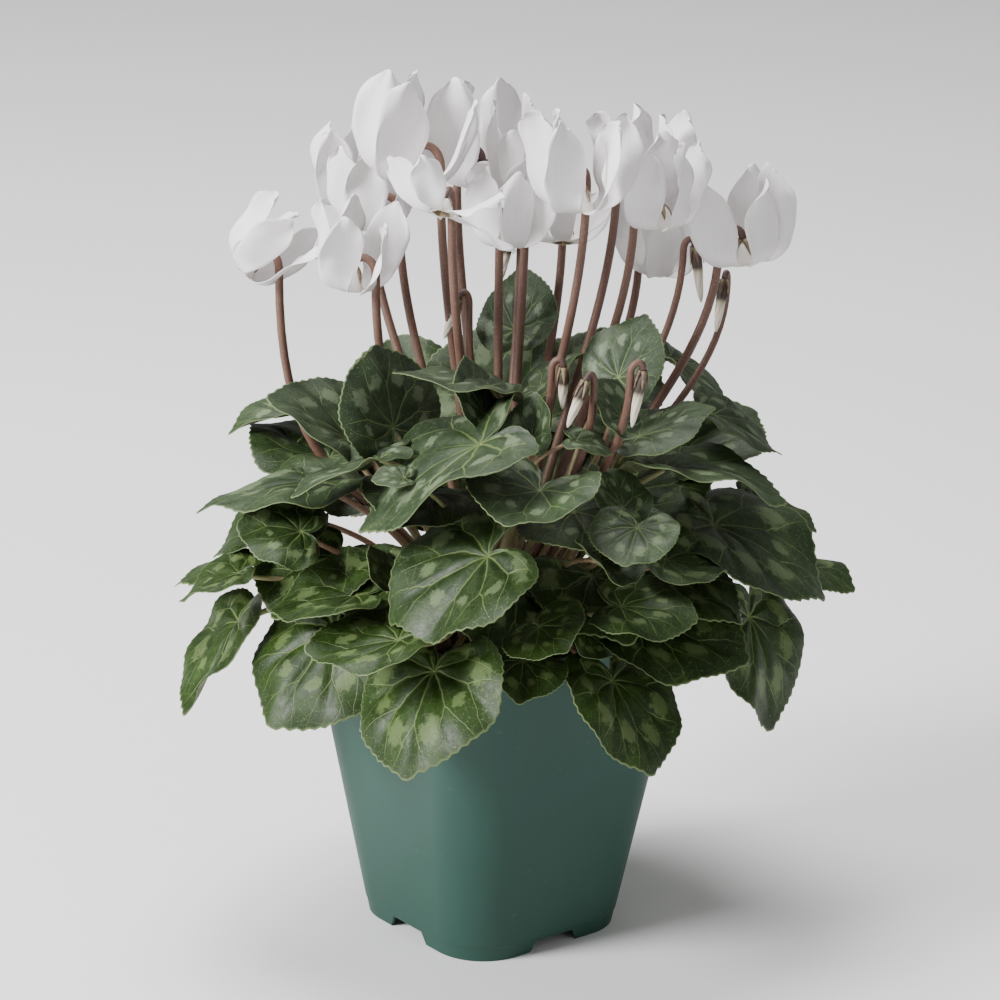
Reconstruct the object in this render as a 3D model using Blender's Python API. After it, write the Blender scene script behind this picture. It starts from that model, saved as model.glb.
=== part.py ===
"""A potted cyclamen: a square green nursery pot, its potting mix, and the plant that grows from the tuber.

Lengths in the tables are millimetres and angles are degrees, and MM turns them into metres.
+Z is up and -Y is the front. The origin is on the ground, under the middle of the whole plant.
The pot stands cornerwise, with one rounded corner turned nearly to the front.
Each leaf is one grown piece: a heart-shaped blade on its stalk. Each flower is one grown piece too:
a stem that hooks over at the top, a short tube and five petals swept back from its mouth.
"""

import math
from collections import namedtuple

import bmesh
import bpy
from mathutils import Vector

MM = 0.001
UP = Vector((0, 0, 1))
PLANT_X = -7.5           # the pot's axis, from the middle of the whole plant

# The pot: a tapering square tub with large rounded corners, standing on four corner feet.
POT_TURN = 38.0          # the outward direction of its front right side, from +X towards +Y, less 90
POT_HEIGHT = 130.0
POT_TOP_SIDE = 122.0
POT_BASE_SIDE = 81.0
POT_TOP_CORNER = 26.0
POT_BASE_CORNER = 21.0
POT_WALL = 1.8
LIP_DROP = 6.0
LIP_OUT = 1.0
FOOT_HEIGHT = 6.4
FLOOR_THICK = 2.0
NOTCH_HEIGHT = 5.2
NOTCH_WIDTH = 24.0
NOTCH_SLANT = 3.0
DRAIN_RADIUS = 4.5
DRAIN_OFFSET = 21.0
DRAIN_SIDES = 12
CORNER_STEPS = 5

# The potting mix and the tuber that sits half sunk in it.
FIT_GAP = 0.35
SOIL_LEVEL = 116.0
TUBER_RADIUS = 29.0
TUBER_HALF_HEIGHT = 13.0
TUBER_CENTRE = 117.0
TUBER_SIDES = 20
TUBER_BANDS = 8

# A leaf's blade and stalk.
SPOKES = (0, 26, 58, 92, 126, 156, 180, 204, 234, 268, 302, 334)
BLADE_RINGS = (0.5, 1.0)
BLADE_THICK = 0.8
STALK_RADIUS = 1.5
STALK_STEPS = 7
NOTCH_CLEAR = 2.6        # the blade's least reach at its notch, in stalk radii
FOOT_GAP = 0.9           # between a stalk's foot and the tuber
FOOT_ASIDE = 9.0         # how far round the right middle rank's feet stand from the others'

# A flower's stem, tube and petals, at full size.
STEM_RADIUS = 1.7
STEM_SIDES = 5
STEM_STEPS = 8
HOOK_STEPS = 5
HOOK_ACROSS = 11.5
HOOK_RISE = 9.0
TUBE_HEIGHT = 8.0
MOUTH_RADIUS = 6.4
PETAL_SPREAD = 64.0      # between neighbouring petals, which leaves a gap for the stem
PETAL_LENGTH = 42.0
PETAL_HALF_WIDTH = 10.5
PETAL_THICK = 0.8
PETAL_ROWS = (0.3, 0.65, 1.0)
PETAL_TWIST = 24.0
BUD_RADIUS = 3.0

# Where each leaf's blade joins its stalk, which way the midrib points (from +X towards +Y), how far its
# tip dips, how far its left side is raised, and its length, breadth (a share of the usual), V-fold and bow
# (down towards the margin where it is negative).
Leaf = namedtuple("Leaf", "x y z heading dip roll length broad fold bow")
FRONT_LEAVES = (
    # Hanging over the rim.
    Leaf(-23, -86, 134, 248, 42, 20, 42, 1.0, 0.05, -0.15),
    Leaf(10, -84, 138, 269, 20, -9, 21, 1.0, 0.10, -0.10),
    Leaf(44, -73, 127, 309, 40, -10, 40, 0.8, 0.10, -0.15),
    Leaf(54, -51, 144, 346, 12, 20, 44, 0.8, 0.10, -0.15),
    Leaf(-61, -48, 136, 215, 46, -16, 44, 0.9, 0.0, -0.20),
    Leaf(98, -12, 131, 312, 58, -15, 45, 0.8, 0.05, -0.15),
    # The middle ranks, from left to right.
    Leaf(-98, -41, 155, 176, 22, -5, 26, 0.72, 0.30, -0.15),
    Leaf(-100, -14, 126, 227, 44, 28, 42, 0.75, 0.20, -0.10),
    Leaf(-85, 3, 151, 188, 19, 13, 43, 0.8, 0.15, -0.10),
    Leaf(-74, -46, 174, 178, -10, -26, 25, 1.0, 0.05, -0.10),
    Leaf(-53, -62, 155, 174, 12, -10, 34, 0.88, 0.25, -0.05),
    Leaf(-36, -88, 147, 181, 14, -10, 34, 0.85, 0.10, 0.10),
    Leaf(-4, -86, 180, 178, 30, -27, 46, 0.9, 0.05, -0.15),
    Leaf(16, -90, 154, 302, 12, 28, 20, 1.0, 0.05, 0.05),
    Leaf(46, -77, 158, 351, 2, 14, 29, 0.9, 0.15, -0.10),
    Leaf(51, -78, 189, 256, 23, -2, 21, 1.0, 0.20, -0.10),
    Leaf(63, -56, 169, 11, 8, 15, 25, 0.9, 0.20, -0.05),
    Leaf(83, -16, 170, 351, 22, 5, 52, 0.85, 0.10, -0.15),
    Leaf(106, 14, 148, 352, 16, 0, 36, 0.8, 0.10, -0.10),
    Leaf(15, -78, 203, 250, 14, -2, 34, 0.9, 0.30, 0.10),
    # The upper ranks.
    Leaf(-8, -67, 217, 184, 30, -5, 57, 0.75, 0.15, -0.15),
    Leaf(62, -32, 198, 358, 3, -6, 48, 0.7, 0.20, -0.15),
    Leaf(52, -36, 211, 8, -24, 7, 30, 0.75, 0.10, -0.10),
    Leaf(-40, -34, 212, 120, -70, 15, 32, 1.0, 0.05, -0.10),
    Leaf(-58, -22, 204, 184, -34, -15, 35, 0.85, 0.30, -0.10),
    Leaf(-68, -24, 186, 186, 6, 5, 48, 0.7, 0.10, -0.10),
    Leaf(-4, -40, 231, 182, -12, 6, 36, 0.65, 0.15, -0.15),
    Leaf(15, 7, 217, 15, -38, -10, 27, 0.65, 0.20, -0.10),
    Leaf(44, -20, 229, 55, -58, 0, 28, 0.75, 0.05, -0.10),
)
BACK_LEAVES = (
    Leaf(66, 44, 218, 20, 35, 15, 32, 0.75, 0.10, -0.10),
    Leaf(5, 44, 228, 80, -60, -15, 26, 0.8, 0.10, -0.10),
    Leaf(-76, 24, 199, 181, 10, 5, 32, 0.75, 0.30, -0.10),
    Leaf(-66, 50, 170, 145, 28, 5, 46, 1.0, 0.10, -0.15),
    Leaf(-22, 80, 158, 108, 34, -5, 50, 1.0, 0.10, -0.15),
    Leaf(28, 80, 148, 75, 36, 0, 50, 1.0, 0.10, -0.15),
    Leaf(64, 56, 166, 42, 26, 5, 46, 1.0, 0.10, -0.15),
    Leaf(-9, 65, 194, 94, 14, 5, 42, 1.0, 0.15, -0.15),
)

# Where each flower's mouth is, the way that it faces and how far it is tipped that way from straight
# down, its size, how far its petals are swept back from the mouth's axis, how much of its stem is
# upright, and how much further back the petals on one side are swept than those on the other.
Flower = namedtuple("Flower", "x y z facing tip size sweep upright uneven", defaults=(0.33, 0))
FLOWERS = (
    Flower(-99, 4, 262, 185, 55, 0.78, 172, 0.7),
    Flower(-58, -17, 261, 180, 12, 0.85, 172, 0.5),
    Flower(-62, 66, 272, 170, 5, 0.80, 178),
    Flower(-49, 37, 270, 190, 0, 0.85, 178),
    Flower(-38, 8, 296, 185, 18, 1.05, 174),
    Flower(-9, 55, 283, 350, 0, 1.00, 178),
    Flower(-23, -38, 296, 250, 35, 0.64, 118, 0.33, 46),
    Flower(1, 5, 273, 290, 0, 0.82, 180),
    Flower(15, 30, 283, 330, 0, 0.78, 180),
    Flower(27, -24, 295, 250, 3, 0.95, 174),
    Flower(23, 58, 260, 270, 25, 0.75, 155),
    Flower(51, 33, 285, 20, 0, 0.88, 178),
    Flower(58, 0, 283, 10, 3, 0.88, 178),
    Flower(61, 56, 249, 340, 0, 0.85, 178),
    Flower(93, 14, 266, 0, 12, 0.92, 172),
)
Bud = namedtuple("Bud", "x y z facing tip length")
BUDS = (
    Bud(73, 18, 270, 350, 8, 22),
    Bud(85, 28, 254, 250, 24, 20),
    Bud(23, -46, 240, 350, 0, 16),
    Bud(31, -57, 238, 222, 28, 18),
    Bud(52, -58, 243, 0, -9, 22),
)


def millimetres(x, y, z):
    return Vector((x, y, z)) * MM


def direction(heading, dip):
    """The unit vector at this heading that dips this far below level."""
    h, d = math.radians(heading), math.radians(dip)
    return Vector((math.cos(d) * math.cos(h), math.cos(d) * math.sin(h), -math.sin(d)))


def bezier(a, b, c, d, steps):
    """Points along a cubic curve from a to d, both ends included."""
    points = []
    for i in range(steps + 1):
        t = i / steps
        u = 1 - t
        points.append(a * u**3 + b * 3 * u * u * t + c * 3 * u * t * t + d * t**3)
    return points


def plant_object(name, bm, material):
    """An object named name, made from bm, on the plant's empty."""
    bmesh.ops.recalc_face_normals(bm, faces=bm.faces)
    mesh = bpy.data.meshes.new(name)
    bm.to_mesh(mesh)
    bm.free()
    mesh.shade_smooth()
    mesh.materials.append(material)
    obj = bpy.data.objects.new(name, mesh)
    bpy.context.scene.collection.objects.link(obj)
    obj.parent = bpy.data.objects["plant"]
    return obj


def finish(name, colour, roughness):
    material = bpy.data.materials.new(name)
    material.use_nodes = True
    shader = material.node_tree.nodes["Principled BSDF"]
    shader.inputs["Base Color"].default_value = (*colour, 1)
    shader.inputs["Roughness"].default_value = roughness
    shader.inputs["Metallic"].default_value = 0.0
    return material


def bridge(bm, lower, upper):
    """Quads between two closed loops of as many vertices."""
    count = len(lower)
    for i in range(count):
        j = (i + 1) % count
        bm.faces.new((lower[i], lower[j], upper[j], upper[i]))


# Pot and potting mix


def rounded_square(bm, side, corner, z):
    """A loop of vertices round a level rounded square, turned as the pot is."""
    loop = []
    for quarter in range(4):
        middle = Vector((side / 2 - corner, side / 2 - corner))
        for step in range(CORNER_STEPS + 1):
            angle = math.radians(90 * step / CORNER_STEPS)
            x = middle.x + corner * math.cos(angle)
            y = middle.y + corner * math.sin(angle)
            turn = math.radians(90 * quarter + POT_TURN)
            spun = (x * math.cos(turn) - y * math.sin(turn), x * math.sin(turn) + y * math.cos(turn))
            loop.append(bm.verts.new(millimetres(*spun, z)))
    return loop


def pot_loop(bm, z, inset):
    """The pot's rounded-square section at height z, moved in from the outer wall by inset."""
    share = z / POT_HEIGHT
    side = POT_BASE_SIDE + (POT_TOP_SIDE - POT_BASE_SIDE) * share - 2 * inset
    corner = POT_BASE_CORNER + (POT_TOP_CORNER - POT_BASE_CORNER) * share - inset
    return rounded_square(bm, side, corner, z)


def loft(bm, loops):
    """Joins each loop to the next one and closes the first and the last."""
    bm.faces.new(loops[0])
    for lower, upper in zip(loops, loops[1:]):
        bridge(bm, lower, upper)
    bm.faces.new(loops[-1])


def cut(obj, cutter):
    cutter.hide_render = True
    cutter.display_type = "WIRE"
    modifier = obj.modifiers.new("cut_" + cutter.name, "BOOLEAN")
    modifier.operation = "DIFFERENCE"
    modifier.object = cutter


def notch_cutter(material):
    """One bar across the pot for each pair of opposite notches, with ends that slant in towards the top."""
    bm = bmesh.new()
    for quarter in range(2):
        turn = math.radians(90 * quarter + POT_TURN)
        along = Vector((math.cos(turn), math.sin(turn), 0))
        across = Vector((-math.sin(turn), math.cos(turn), 0))
        half = NOTCH_WIDTH / 2
        top = NOTCH_HEIGHT - 0.4 * quarter
        profile = ((half, -1), (-half, -1), (NOTCH_SLANT - half, top), (half - NOTCH_SLANT, top))
        ends = []
        for reach in (-POT_BASE_SIDE, POT_BASE_SIDE):
            ends.append([bm.verts.new((along * reach + across * x + UP * z) * MM) for x, z in profile])
        loft(bm, ends)
    return plant_object("notch_cutter", bm, material)


def drain_cutter(material):
    """Nine upright pins: one in the middle and eight round it."""
    bm = bmesh.new()
    places = [(0, 0)]
    for i in range(8):
        reach = DRAIN_OFFSET * (1.0 if i % 2 else 1.2)
        turn = math.radians(45 * i + POT_TURN)
        places.append((reach * math.cos(turn), reach * math.sin(turn)))
    for x, y in places:
        rings = []
        for z in (FOOT_HEIGHT - 2, FOOT_HEIGHT + FLOOR_THICK + 2):
            ring = []
            for k in range(DRAIN_SIDES):
                a = math.tau * k / DRAIN_SIDES
                out = Vector((math.cos(a), math.sin(a), 0)) * DRAIN_RADIUS
                ring.append(bm.verts.new(millimetres(x + out.x, y + out.y, z)))
            rings.append(ring)
        loft(bm, rings)
    return plant_object("drain_cutter", bm, material)


def make_pot(material):
    bm = bmesh.new()
    loft(
        bm,
        [
            pot_loop(bm, FOOT_HEIGHT, POT_WALL),
            pot_loop(bm, 0, POT_WALL),
            pot_loop(bm, 0, 0),
            pot_loop(bm, POT_HEIGHT - LIP_DROP, 0),
            pot_loop(bm, POT_HEIGHT - LIP_DROP + 0.5, -LIP_OUT),
            pot_loop(bm, POT_HEIGHT, -LIP_OUT),
            pot_loop(bm, POT_HEIGHT, POT_WALL),
            pot_loop(bm, FOOT_HEIGHT + FLOOR_THICK, POT_WALL),
        ],
    )
    pot = plant_object("pot", bm, material)
    cut(pot, notch_cutter(material))
    cut(pot, drain_cutter(material))
    return pot


def tuber_globe(bm, gap):
    """The tuber's closed flattened globe, made larger all round by gap."""
    loops = []
    for band in range(1, TUBER_BANDS):
        climb = math.pi * band / TUBER_BANDS
        reach = (TUBER_RADIUS + gap) * math.sin(climb)
        height = TUBER_CENTRE - (TUBER_HALF_HEIGHT + gap) * math.cos(climb)
        ring = []
        for k in range(TUBER_SIDES):
            a = math.tau * k / TUBER_SIDES
            ring.append(bm.verts.new(millimetres(reach * math.cos(a), reach * math.sin(a), height)))
        loops.append(ring)
    loft(bm, loops)


def make_soil(material):
    bm = bmesh.new()
    inset = POT_WALL + FIT_GAP
    loft(bm, [pot_loop(bm, FOOT_HEIGHT + FLOOR_THICK + FIT_GAP, inset), pot_loop(bm, SOIL_LEVEL, inset)])
    soil = plant_object("soil", bm, material)
    bm = bmesh.new()
    tuber_globe(bm, FIT_GAP)
    cut(soil, plant_object("tuber_seat", bm, material))
    return soil


def make_tuber(material):
    bm = bmesh.new()
    tuber_globe(bm, 0)
    return plant_object("tuber", bm, material)


def tuber_top(reach, azimuth):
    """The point just above the tuber at this distance and direction from the pot's axis."""
    height = TUBER_CENTRE + TUBER_HALF_HEIGHT * math.sqrt(1 - (reach / TUBER_RADIUS) ** 2)
    return millimetres(reach * math.cos(azimuth), reach * math.sin(azimuth), height + FOOT_GAP)


# Stalks and stems


def sweep(bm, path, radii, sides, start_axis):
    """Rings of vertices round a path. The first ring's first vertex lies along start_axis."""
    rings = []
    axis = start_axis
    for i, point in enumerate(path):
        tangent = (path[min(i + 1, len(path) - 1)] - path[max(i - 1, 0)]).normalized()
        axis = (axis - tangent * axis.dot(tangent)).normalized()
        other = tangent.cross(axis)
        ring = []
        for k in range(sides):
            a = math.tau * k / sides
            ring.append(bm.verts.new(point + (axis * math.cos(a) + other * math.sin(a)) * radii[i]))
        rings.append(ring)
    for lower, upper in zip(rings, rings[1:]):
        bridge(bm, lower, upper)
    return rings


def rise(foot, end, arrival, upright=0.33):
    """A stalk's or a stem's curve: up from the tuber, and into end along the direction arrival."""
    span = (end - foot).length
    outward = Vector((end.x - foot.x, end.y - foot.y, 0)) / span
    start = (UP + outward * 0.6).normalized()
    return foot + start * span * 0.4, end - arrival * span * upright


# Leaves


def heart(angle):
    """The blade's edge from the joint, as a share of its length: a pointed tip at 0, a notch at 180."""
    off_tip = min(angle, 360 - angle)
    body = 0.84 - 0.66 * (off_tip / 180) ** 2.3
    return body + 0.16 * math.exp(-off_tip / 18) - 0.12 * math.exp((off_tip - 180) / 10)


def blade_frame(leaf):
    """The blade's own axes: along the midrib, to its left, and out of its upper side."""
    along = direction(leaf.heading, leaf.dip)
    level = UP.cross(along).normalized()
    face = along.cross(level)
    r = math.radians(leaf.roll)
    return along, level * math.cos(r) + face * math.sin(r), face * math.cos(r) - level * math.sin(r)


def stalk_radius(leaf):
    return STALK_RADIUS * (0.5 + leaf.length / 90)


def blade_point(leaf, axes, angle, share, side):
    """A point of the blade at this share of the way out to its edge, on its upper (1) or lower (-1) side."""
    along, left, face = axes
    reach = max(heart(angle), NOTCH_CLEAR * stalk_radius(leaf) / leaf.length) * share
    a = math.radians(angle)
    x, y = reach * math.cos(a), reach * math.sin(a) * leaf.broad
    height = leaf.fold * (math.sqrt(y * y + 0.01) - 0.1) + leaf.bow * (x * x + y * y)
    joint = millimetres(leaf.x, leaf.y, leaf.z)
    flat = (along * x + left * y + face * height) * leaf.length
    return joint + (flat + face * side * BLADE_THICK / 2) * MM


def make_leaf(name, leaf, foot, material):
    bm = bmesh.new()
    axes = blade_frame(leaf)
    sheets = []
    for side in (1, -1):
        rings = []
        for share in BLADE_RINGS:
            rings.append([bm.verts.new(blade_point(leaf, axes, a, share, side)) for a in SPOKES])
        for inner, outer in zip(rings, rings[1:]):
            bridge(bm, inner, outer)
        sheets.append(rings)
    upper, lower = sheets
    bridge(bm, upper[-1], lower[-1])
    centre = bm.verts.new(blade_point(leaf, axes, 0, 0, 1))
    for i in range(len(SPOKES)):
        bm.faces.new((centre, upper[0][i], upper[0][(i + 1) % len(SPOKES)]))

    # The stalk has half as many sides as the blade has spokes, so each side takes two of them.
    along, left, face = axes
    thick = stalk_radius(leaf) * MM
    joint = blade_point(leaf, axes, 0, 0, -1)
    arrival = (along + face * 0.6).normalized()
    near_foot, near_joint = rise(foot, joint, arrival)
    path = bezier(joint, near_joint, near_foot, foot, STALK_STEPS)
    sides = len(SPOKES) // 2
    collar = []
    for k in range(sides):
        a = math.tau * k / sides
        collar.append(bm.verts.new(joint + (along * math.cos(a) - left * math.sin(a)) * thick))
    rings = sweep(bm, path[1:], [thick] * STALK_STEPS, sides, along)
    bridge(bm, collar, rings[0])
    bm.faces.new(rings[-1])
    inner = lower[0]
    for k in range(sides):
        here = -2 * k % len(SPOKES)
        following = collar[(k + 1) % sides]
        bm.faces.new((collar[k], inner[here], inner[here - 1]))
        bm.faces.new((collar[k], inner[here - 1], following))
        bm.faces.new((following, inner[here - 1], inner[here - 2]))
    return plant_object(name, bm, material)


# Flowers and buds


def nod_frame(facing, tip):
    """A nodding head's axes: out of its mouth, towards its stem, and square to both."""
    f, t = math.radians(facing), math.radians(tip)
    forward = Vector((math.cos(f), math.sin(f), 0))
    mouth = forward * math.sin(t) - UP * math.cos(t)
    back = (mouth * forward.dot(mouth) - forward).normalized()
    return mouth, back, mouth.cross(back)


def stem_path(foot, base, mouth, back, across, rise_by, upright=0.33):
    """Up from the tuber, then over a hook and down into the head's base along mouth."""
    level_back = Vector((back.x, back.y, 0)).normalized()
    lean = -mouth.dot(level_back) / (1 - mouth.z)
    shoulder = base + level_back * across - UP * (across * lean + rise_by * 0.3)
    near_foot, near_shoulder = rise(foot, shoulder, UP, upright)
    stem = bezier(foot, near_foot, near_shoulder, shoulder, STEM_STEPS)
    hook = bezier(shoulder, shoulder + UP * rise_by, base - mouth * rise_by, base, HOOK_STEPS)
    return stem + hook[1:]


def petal_half_width(share):
    return 3.4 * (1 - share) + PETAL_HALF_WIDTH * math.sin(0.9 * math.pi * share**1.35)


def petal_spine(share, sweep_back):
    """How far out and how far back from the mouth the petal's midline is, in petal lengths."""
    out, back, steps = 0.0, 0.0, 10
    for i in range(steps):
        at = share * (i + 0.5) / steps
        turn = math.radians(95 + (sweep_back - 95) * min(1.0, at / 0.3))
        out += math.sin(turn) * share / steps
        back -= math.cos(turn) * share / steps
    return out, back


def petal_row(bm, centre, frame, flower, angle, share, side):
    """Three vertices across a petal, on its outer (1) or its inner (-1) face."""
    mouth, back, square = frame
    a = math.radians(angle)
    outward = back * math.cos(a) + square * math.sin(a)
    across = square * math.cos(a) - back * math.sin(a)
    sweep_back = flower.sweep + flower.uneven * (angle - 180) / (2 * PETAL_SPREAD)
    out, up = petal_spine(share, sweep_back)
    turn = math.radians(95 + (sweep_back - 95) * min(1.0, share / 0.3))
    grow = mouth * math.cos(turn) + outward * math.sin(turn)
    normal = grow.cross(across)
    twist = math.radians(PETAL_TWIST * min(1.0, share * 2.5))
    edge = across * math.cos(twist) + normal * math.sin(twist)
    scale = flower.size * MM
    middle = centre + (outward * (MOUTH_RADIUS + out * PETAL_LENGTH) - mouth * up * PETAL_LENGTH) * scale
    thick = normal * side * PETAL_THICK / 2 * MM
    row = []
    for offset in (-1, 0, 1):
        row.append(bm.verts.new(middle + edge * offset * petal_half_width(share) * scale + thick))
    return row


def ring_at(bm, centre, frame, radius, height, angles):
    """A ring of vertices round the flower's axis, height back from its mouth."""
    mouth, back, square = frame
    ring = []
    for angle in angles:
        a = math.radians(angle)
        outward = back * math.cos(a) + square * math.sin(a)
        ring.append(bm.verts.new(centre + outward * radius - mouth * height))
    return ring


def make_flower(name, flower, foot, material):
    bm = bmesh.new()
    frame = nod_frame(flower.facing, flower.tip)
    mouth, back, square = frame
    centre = millimetres(flower.x, flower.y, flower.z)
    scale = flower.size * MM

    # Round the mouth, each petal's middle stands between two of its edges; the stem is at angle 0.
    middles = [180 + PETAL_SPREAD * (p - 2) for p in range(5)]
    angles = [0]
    for middle in middles:
        angles += [middle, middle + PETAL_SPREAD / 2]
    angles = angles[:-1]
    tube = [
        ring_at(bm, centre, frame, 2.6 * scale, (TUBE_HEIGHT - 0.5) * scale, angles),
        ring_at(bm, centre, frame, 5.0 * scale, TUBE_HEIGHT * 0.6 * scale, angles),
        ring_at(bm, centre, frame, MOUTH_RADIUS * scale, 0.5 * scale, angles),
    ]
    lip = ring_at(bm, centre, frame, MOUTH_RADIUS * 0.95 * scale, -0.5 * scale, angles)
    throat = ring_at(bm, centre, frame, MOUTH_RADIUS * 0.6 * scale, 2.5 * scale, angles)
    bridge(bm, tube[0], tube[1])
    bridge(bm, tube[1], tube[2])
    bridge(bm, lip, throat)
    bm.faces.new(throat)

    for p, middle in enumerate(middles):
        ring = [(2 * p + k) % len(angles) for k in range(3)]
        inner = [[tube[2][k] for k in ring]]
        outer = [[lip[k] for k in ring]]
        for share in PETAL_ROWS:
            inner.append(petal_row(bm, centre, frame, flower, middle, share, -1))
            outer.append(petal_row(bm, centre, frame, flower, middle, share, 1))
        for rows in (inner, outer):
            for low, high in zip(rows, rows[1:]):
                for k in range(2):
                    bm.faces.new((low[k], low[k + 1], high[k + 1], high[k]))
        for k in (0, -1):
            for i in range(len(PETAL_ROWS)):
                bm.faces.new((inner[i][k], inner[i + 1][k], outer[i + 1][k], outer[i][k]))
        for k in range(2):
            bm.faces.new((inner[-1][k], inner[-1][k + 1], outer[-1][k + 1], outer[-1][k]))

    # The stem has half as many sides as the tube's ring has vertices, so each side takes two of them.
    base = centre - mouth * (TUBE_HEIGHT + 1.5) * scale
    hook = (HOOK_ACROSS * scale, HOOK_RISE * scale)
    path = stem_path(foot, base, mouth, back, *hook, flower.upright)
    rings = sweep(bm, path[::-1], [STEM_RADIUS * MM] * len(path), STEM_SIDES, back)
    bm.faces.new(rings[-1])
    top = rings[0]
    for k in range(STEM_SIDES):
        here = -2 * k % len(angles)
        following = top[(k + 1) % STEM_SIDES]
        bm.faces.new((top[k], tube[0][here], tube[0][here - 1]))
        bm.faces.new((top[k], tube[0][here - 1], following))
        bm.faces.new((following, tube[0][here - 1], tube[0][here - 2]))
    return plant_object(name, bm, material)


def make_bud(name, bud, foot, material):
    """A closed bud is a stem that swells into a calyx and a folded spindle of petals."""
    bm = bmesh.new()
    mouth, back, _ = nod_frame(bud.facing, bud.tip)
    base = millimetres(bud.x, bud.y, bud.z)
    path = stem_path(foot, base, mouth, back, 4.5 * MM, 5 * MM)
    radii = [STEM_RADIUS * 0.85 * MM] * len(path)
    for share, radius in ((0.15, 0.8), (0.35, 1.0), (0.7, 0.7), (1.0, 0.25)):
        path.append(base + mouth * bud.length * share * MM)
        radii.append(BUD_RADIUS * radius * MM)
    rings = sweep(bm, path, radii, STEM_SIDES, back)
    bm.faces.new(rings[0])
    bm.faces.new(rings[-1])
    return plant_object(name, bm, material)


# The plant


def clear_scene():
    for obj in list(bpy.data.objects):
        bpy.data.objects.remove(obj)


def foot_of(item):
    """Stalks fan out from the tuber like a small copy of the plant, the low ones from nearer its edge."""
    copy = 0.32 - 0.14 * (item.z - 130) / 150
    reach = min(copy * math.hypot(item.x, item.y), TUBER_RADIUS - 2)
    aside = FOOT_ASIDE if 150 < item.z < 180 and item.x > 0 else 0
    return tuber_top(reach, math.atan2(item.y, item.x) + math.radians(aside))


def build():
    clear_scene()
    plant = bpy.data.objects.new("plant", None)
    bpy.context.scene.collection.objects.link(plant)
    plant.location.x = PLANT_X * MM

    make_pot(finish("pot_green", (0.075, 0.205, 0.155), 0.55))
    make_soil(finish("potting_mix", (0.030, 0.022, 0.017), 0.95))
    make_tuber(finish("tuber_brown", (0.120, 0.075, 0.050), 0.85))

    green = finish("leaf_green", (0.045, 0.110, 0.035), 0.50)
    for i, leaf in enumerate(FRONT_LEAVES + BACK_LEAVES, 1):
        make_leaf(f"leaf_{i:02d}", leaf, foot_of(leaf), green)
    white = finish("petal_white", (0.800, 0.770, 0.780), 0.60)
    for i, flower in enumerate(FLOWERS, 1):
        make_flower(f"flower_{i:02d}", flower, foot_of(flower), white)
    cream = finish("bud_cream", (0.640, 0.600, 0.500), 0.60)
    for i, bud in enumerate(BUDS, 1):
        make_bud(f"bud_{i:02d}", bud, foot_of(bud), cream)


build()
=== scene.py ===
"""A white florist's cyclamen in a square green nursery pot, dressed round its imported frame.

The sections follow the plant as it is put together: the pot, the potting mix, the tuber half sunk in it,
the leaves on their stalks, the flowers on their hooked stems, and the buds.
Lengths in the tables are millimetres and angles degrees, and MM turns them into the frame's metres.
+Z is up and -Y is the front.
"""

import math
import random
from collections import namedtuple

import bmesh
import bpy
from mathutils import Matrix, Vector, noise


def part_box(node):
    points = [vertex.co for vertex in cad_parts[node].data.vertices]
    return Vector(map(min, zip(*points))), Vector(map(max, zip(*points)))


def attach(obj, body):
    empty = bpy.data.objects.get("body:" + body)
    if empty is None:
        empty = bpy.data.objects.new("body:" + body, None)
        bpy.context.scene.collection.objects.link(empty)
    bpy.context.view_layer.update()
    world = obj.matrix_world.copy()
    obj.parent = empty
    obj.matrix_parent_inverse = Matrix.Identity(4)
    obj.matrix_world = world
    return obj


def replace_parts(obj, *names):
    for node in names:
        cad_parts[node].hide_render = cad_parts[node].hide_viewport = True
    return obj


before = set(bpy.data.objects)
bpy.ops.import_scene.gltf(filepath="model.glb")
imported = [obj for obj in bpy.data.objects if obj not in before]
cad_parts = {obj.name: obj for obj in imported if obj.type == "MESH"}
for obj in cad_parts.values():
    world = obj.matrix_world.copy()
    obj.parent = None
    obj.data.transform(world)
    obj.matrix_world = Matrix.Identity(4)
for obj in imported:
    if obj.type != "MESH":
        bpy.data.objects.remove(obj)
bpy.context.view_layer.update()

MM = 0.001
UP = Vector((0, 0, 1))
pot_low, pot_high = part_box("pot")
AXIS = Vector(((pot_low[0] + pot_high[0]) / 2, (pot_low[1] + pot_high[1]) / 2, 0))


# Photographer's table
# A wide sheet of matt white board, with a soft box high on the left, a weaker one on the right to lift
# the shadows, and a large overhead diffuser.

FLOOR_SIZE = 12.0
TABLE_WHITE = (0.86, 0.86, 0.86)


def material_tree(name):
    """A new material, its node tree and its Principled shader."""
    material = bpy.data.materials.new(name)
    material.use_nodes = True
    tree = material.node_tree
    return material, tree, tree.nodes["Principled BSDF"]


def put(tree, kind, settings=(), **sockets):
    """A node of this kind. Each socket, named with its spaces left out, takes a value or another's output."""
    node = tree.nodes.new("ShaderNode" + kind)
    for key, value in dict(settings).items():
        setattr(node, key, value)
    for key, value in sockets.items():
        target = [s for s in node.inputs if s.name.replace(" ", "") == key and s.enabled][0]
        if isinstance(value, bpy.types.NodeSocket):
            tree.links.new(value, target)
        else:
            target.default_value = value
    return node


def calc(tree, operation, *values):
    """The output of a Math node with these values or sockets in order."""
    node = tree.nodes.new("ShaderNodeMath")
    node.operation = operation
    for i, value in enumerate(values):
        if isinstance(value, bpy.types.NodeSocket):
            tree.links.new(value, node.inputs[i])
        else:
            node.inputs[i].default_value = value
    return node.outputs[0]


def fade(tree, value, low, high, start=0.0, end=1.0):
    """A smooth step of value, from start at low to end at high."""
    node = put(tree, "MapRange", {"interpolation_type": "SMOOTHSTEP"}, Value=value)
    for socket, number in zip(node.inputs[1:5], (low, high, start, end)):
        socket.default_value = number
    return node.outputs[0]


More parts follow.
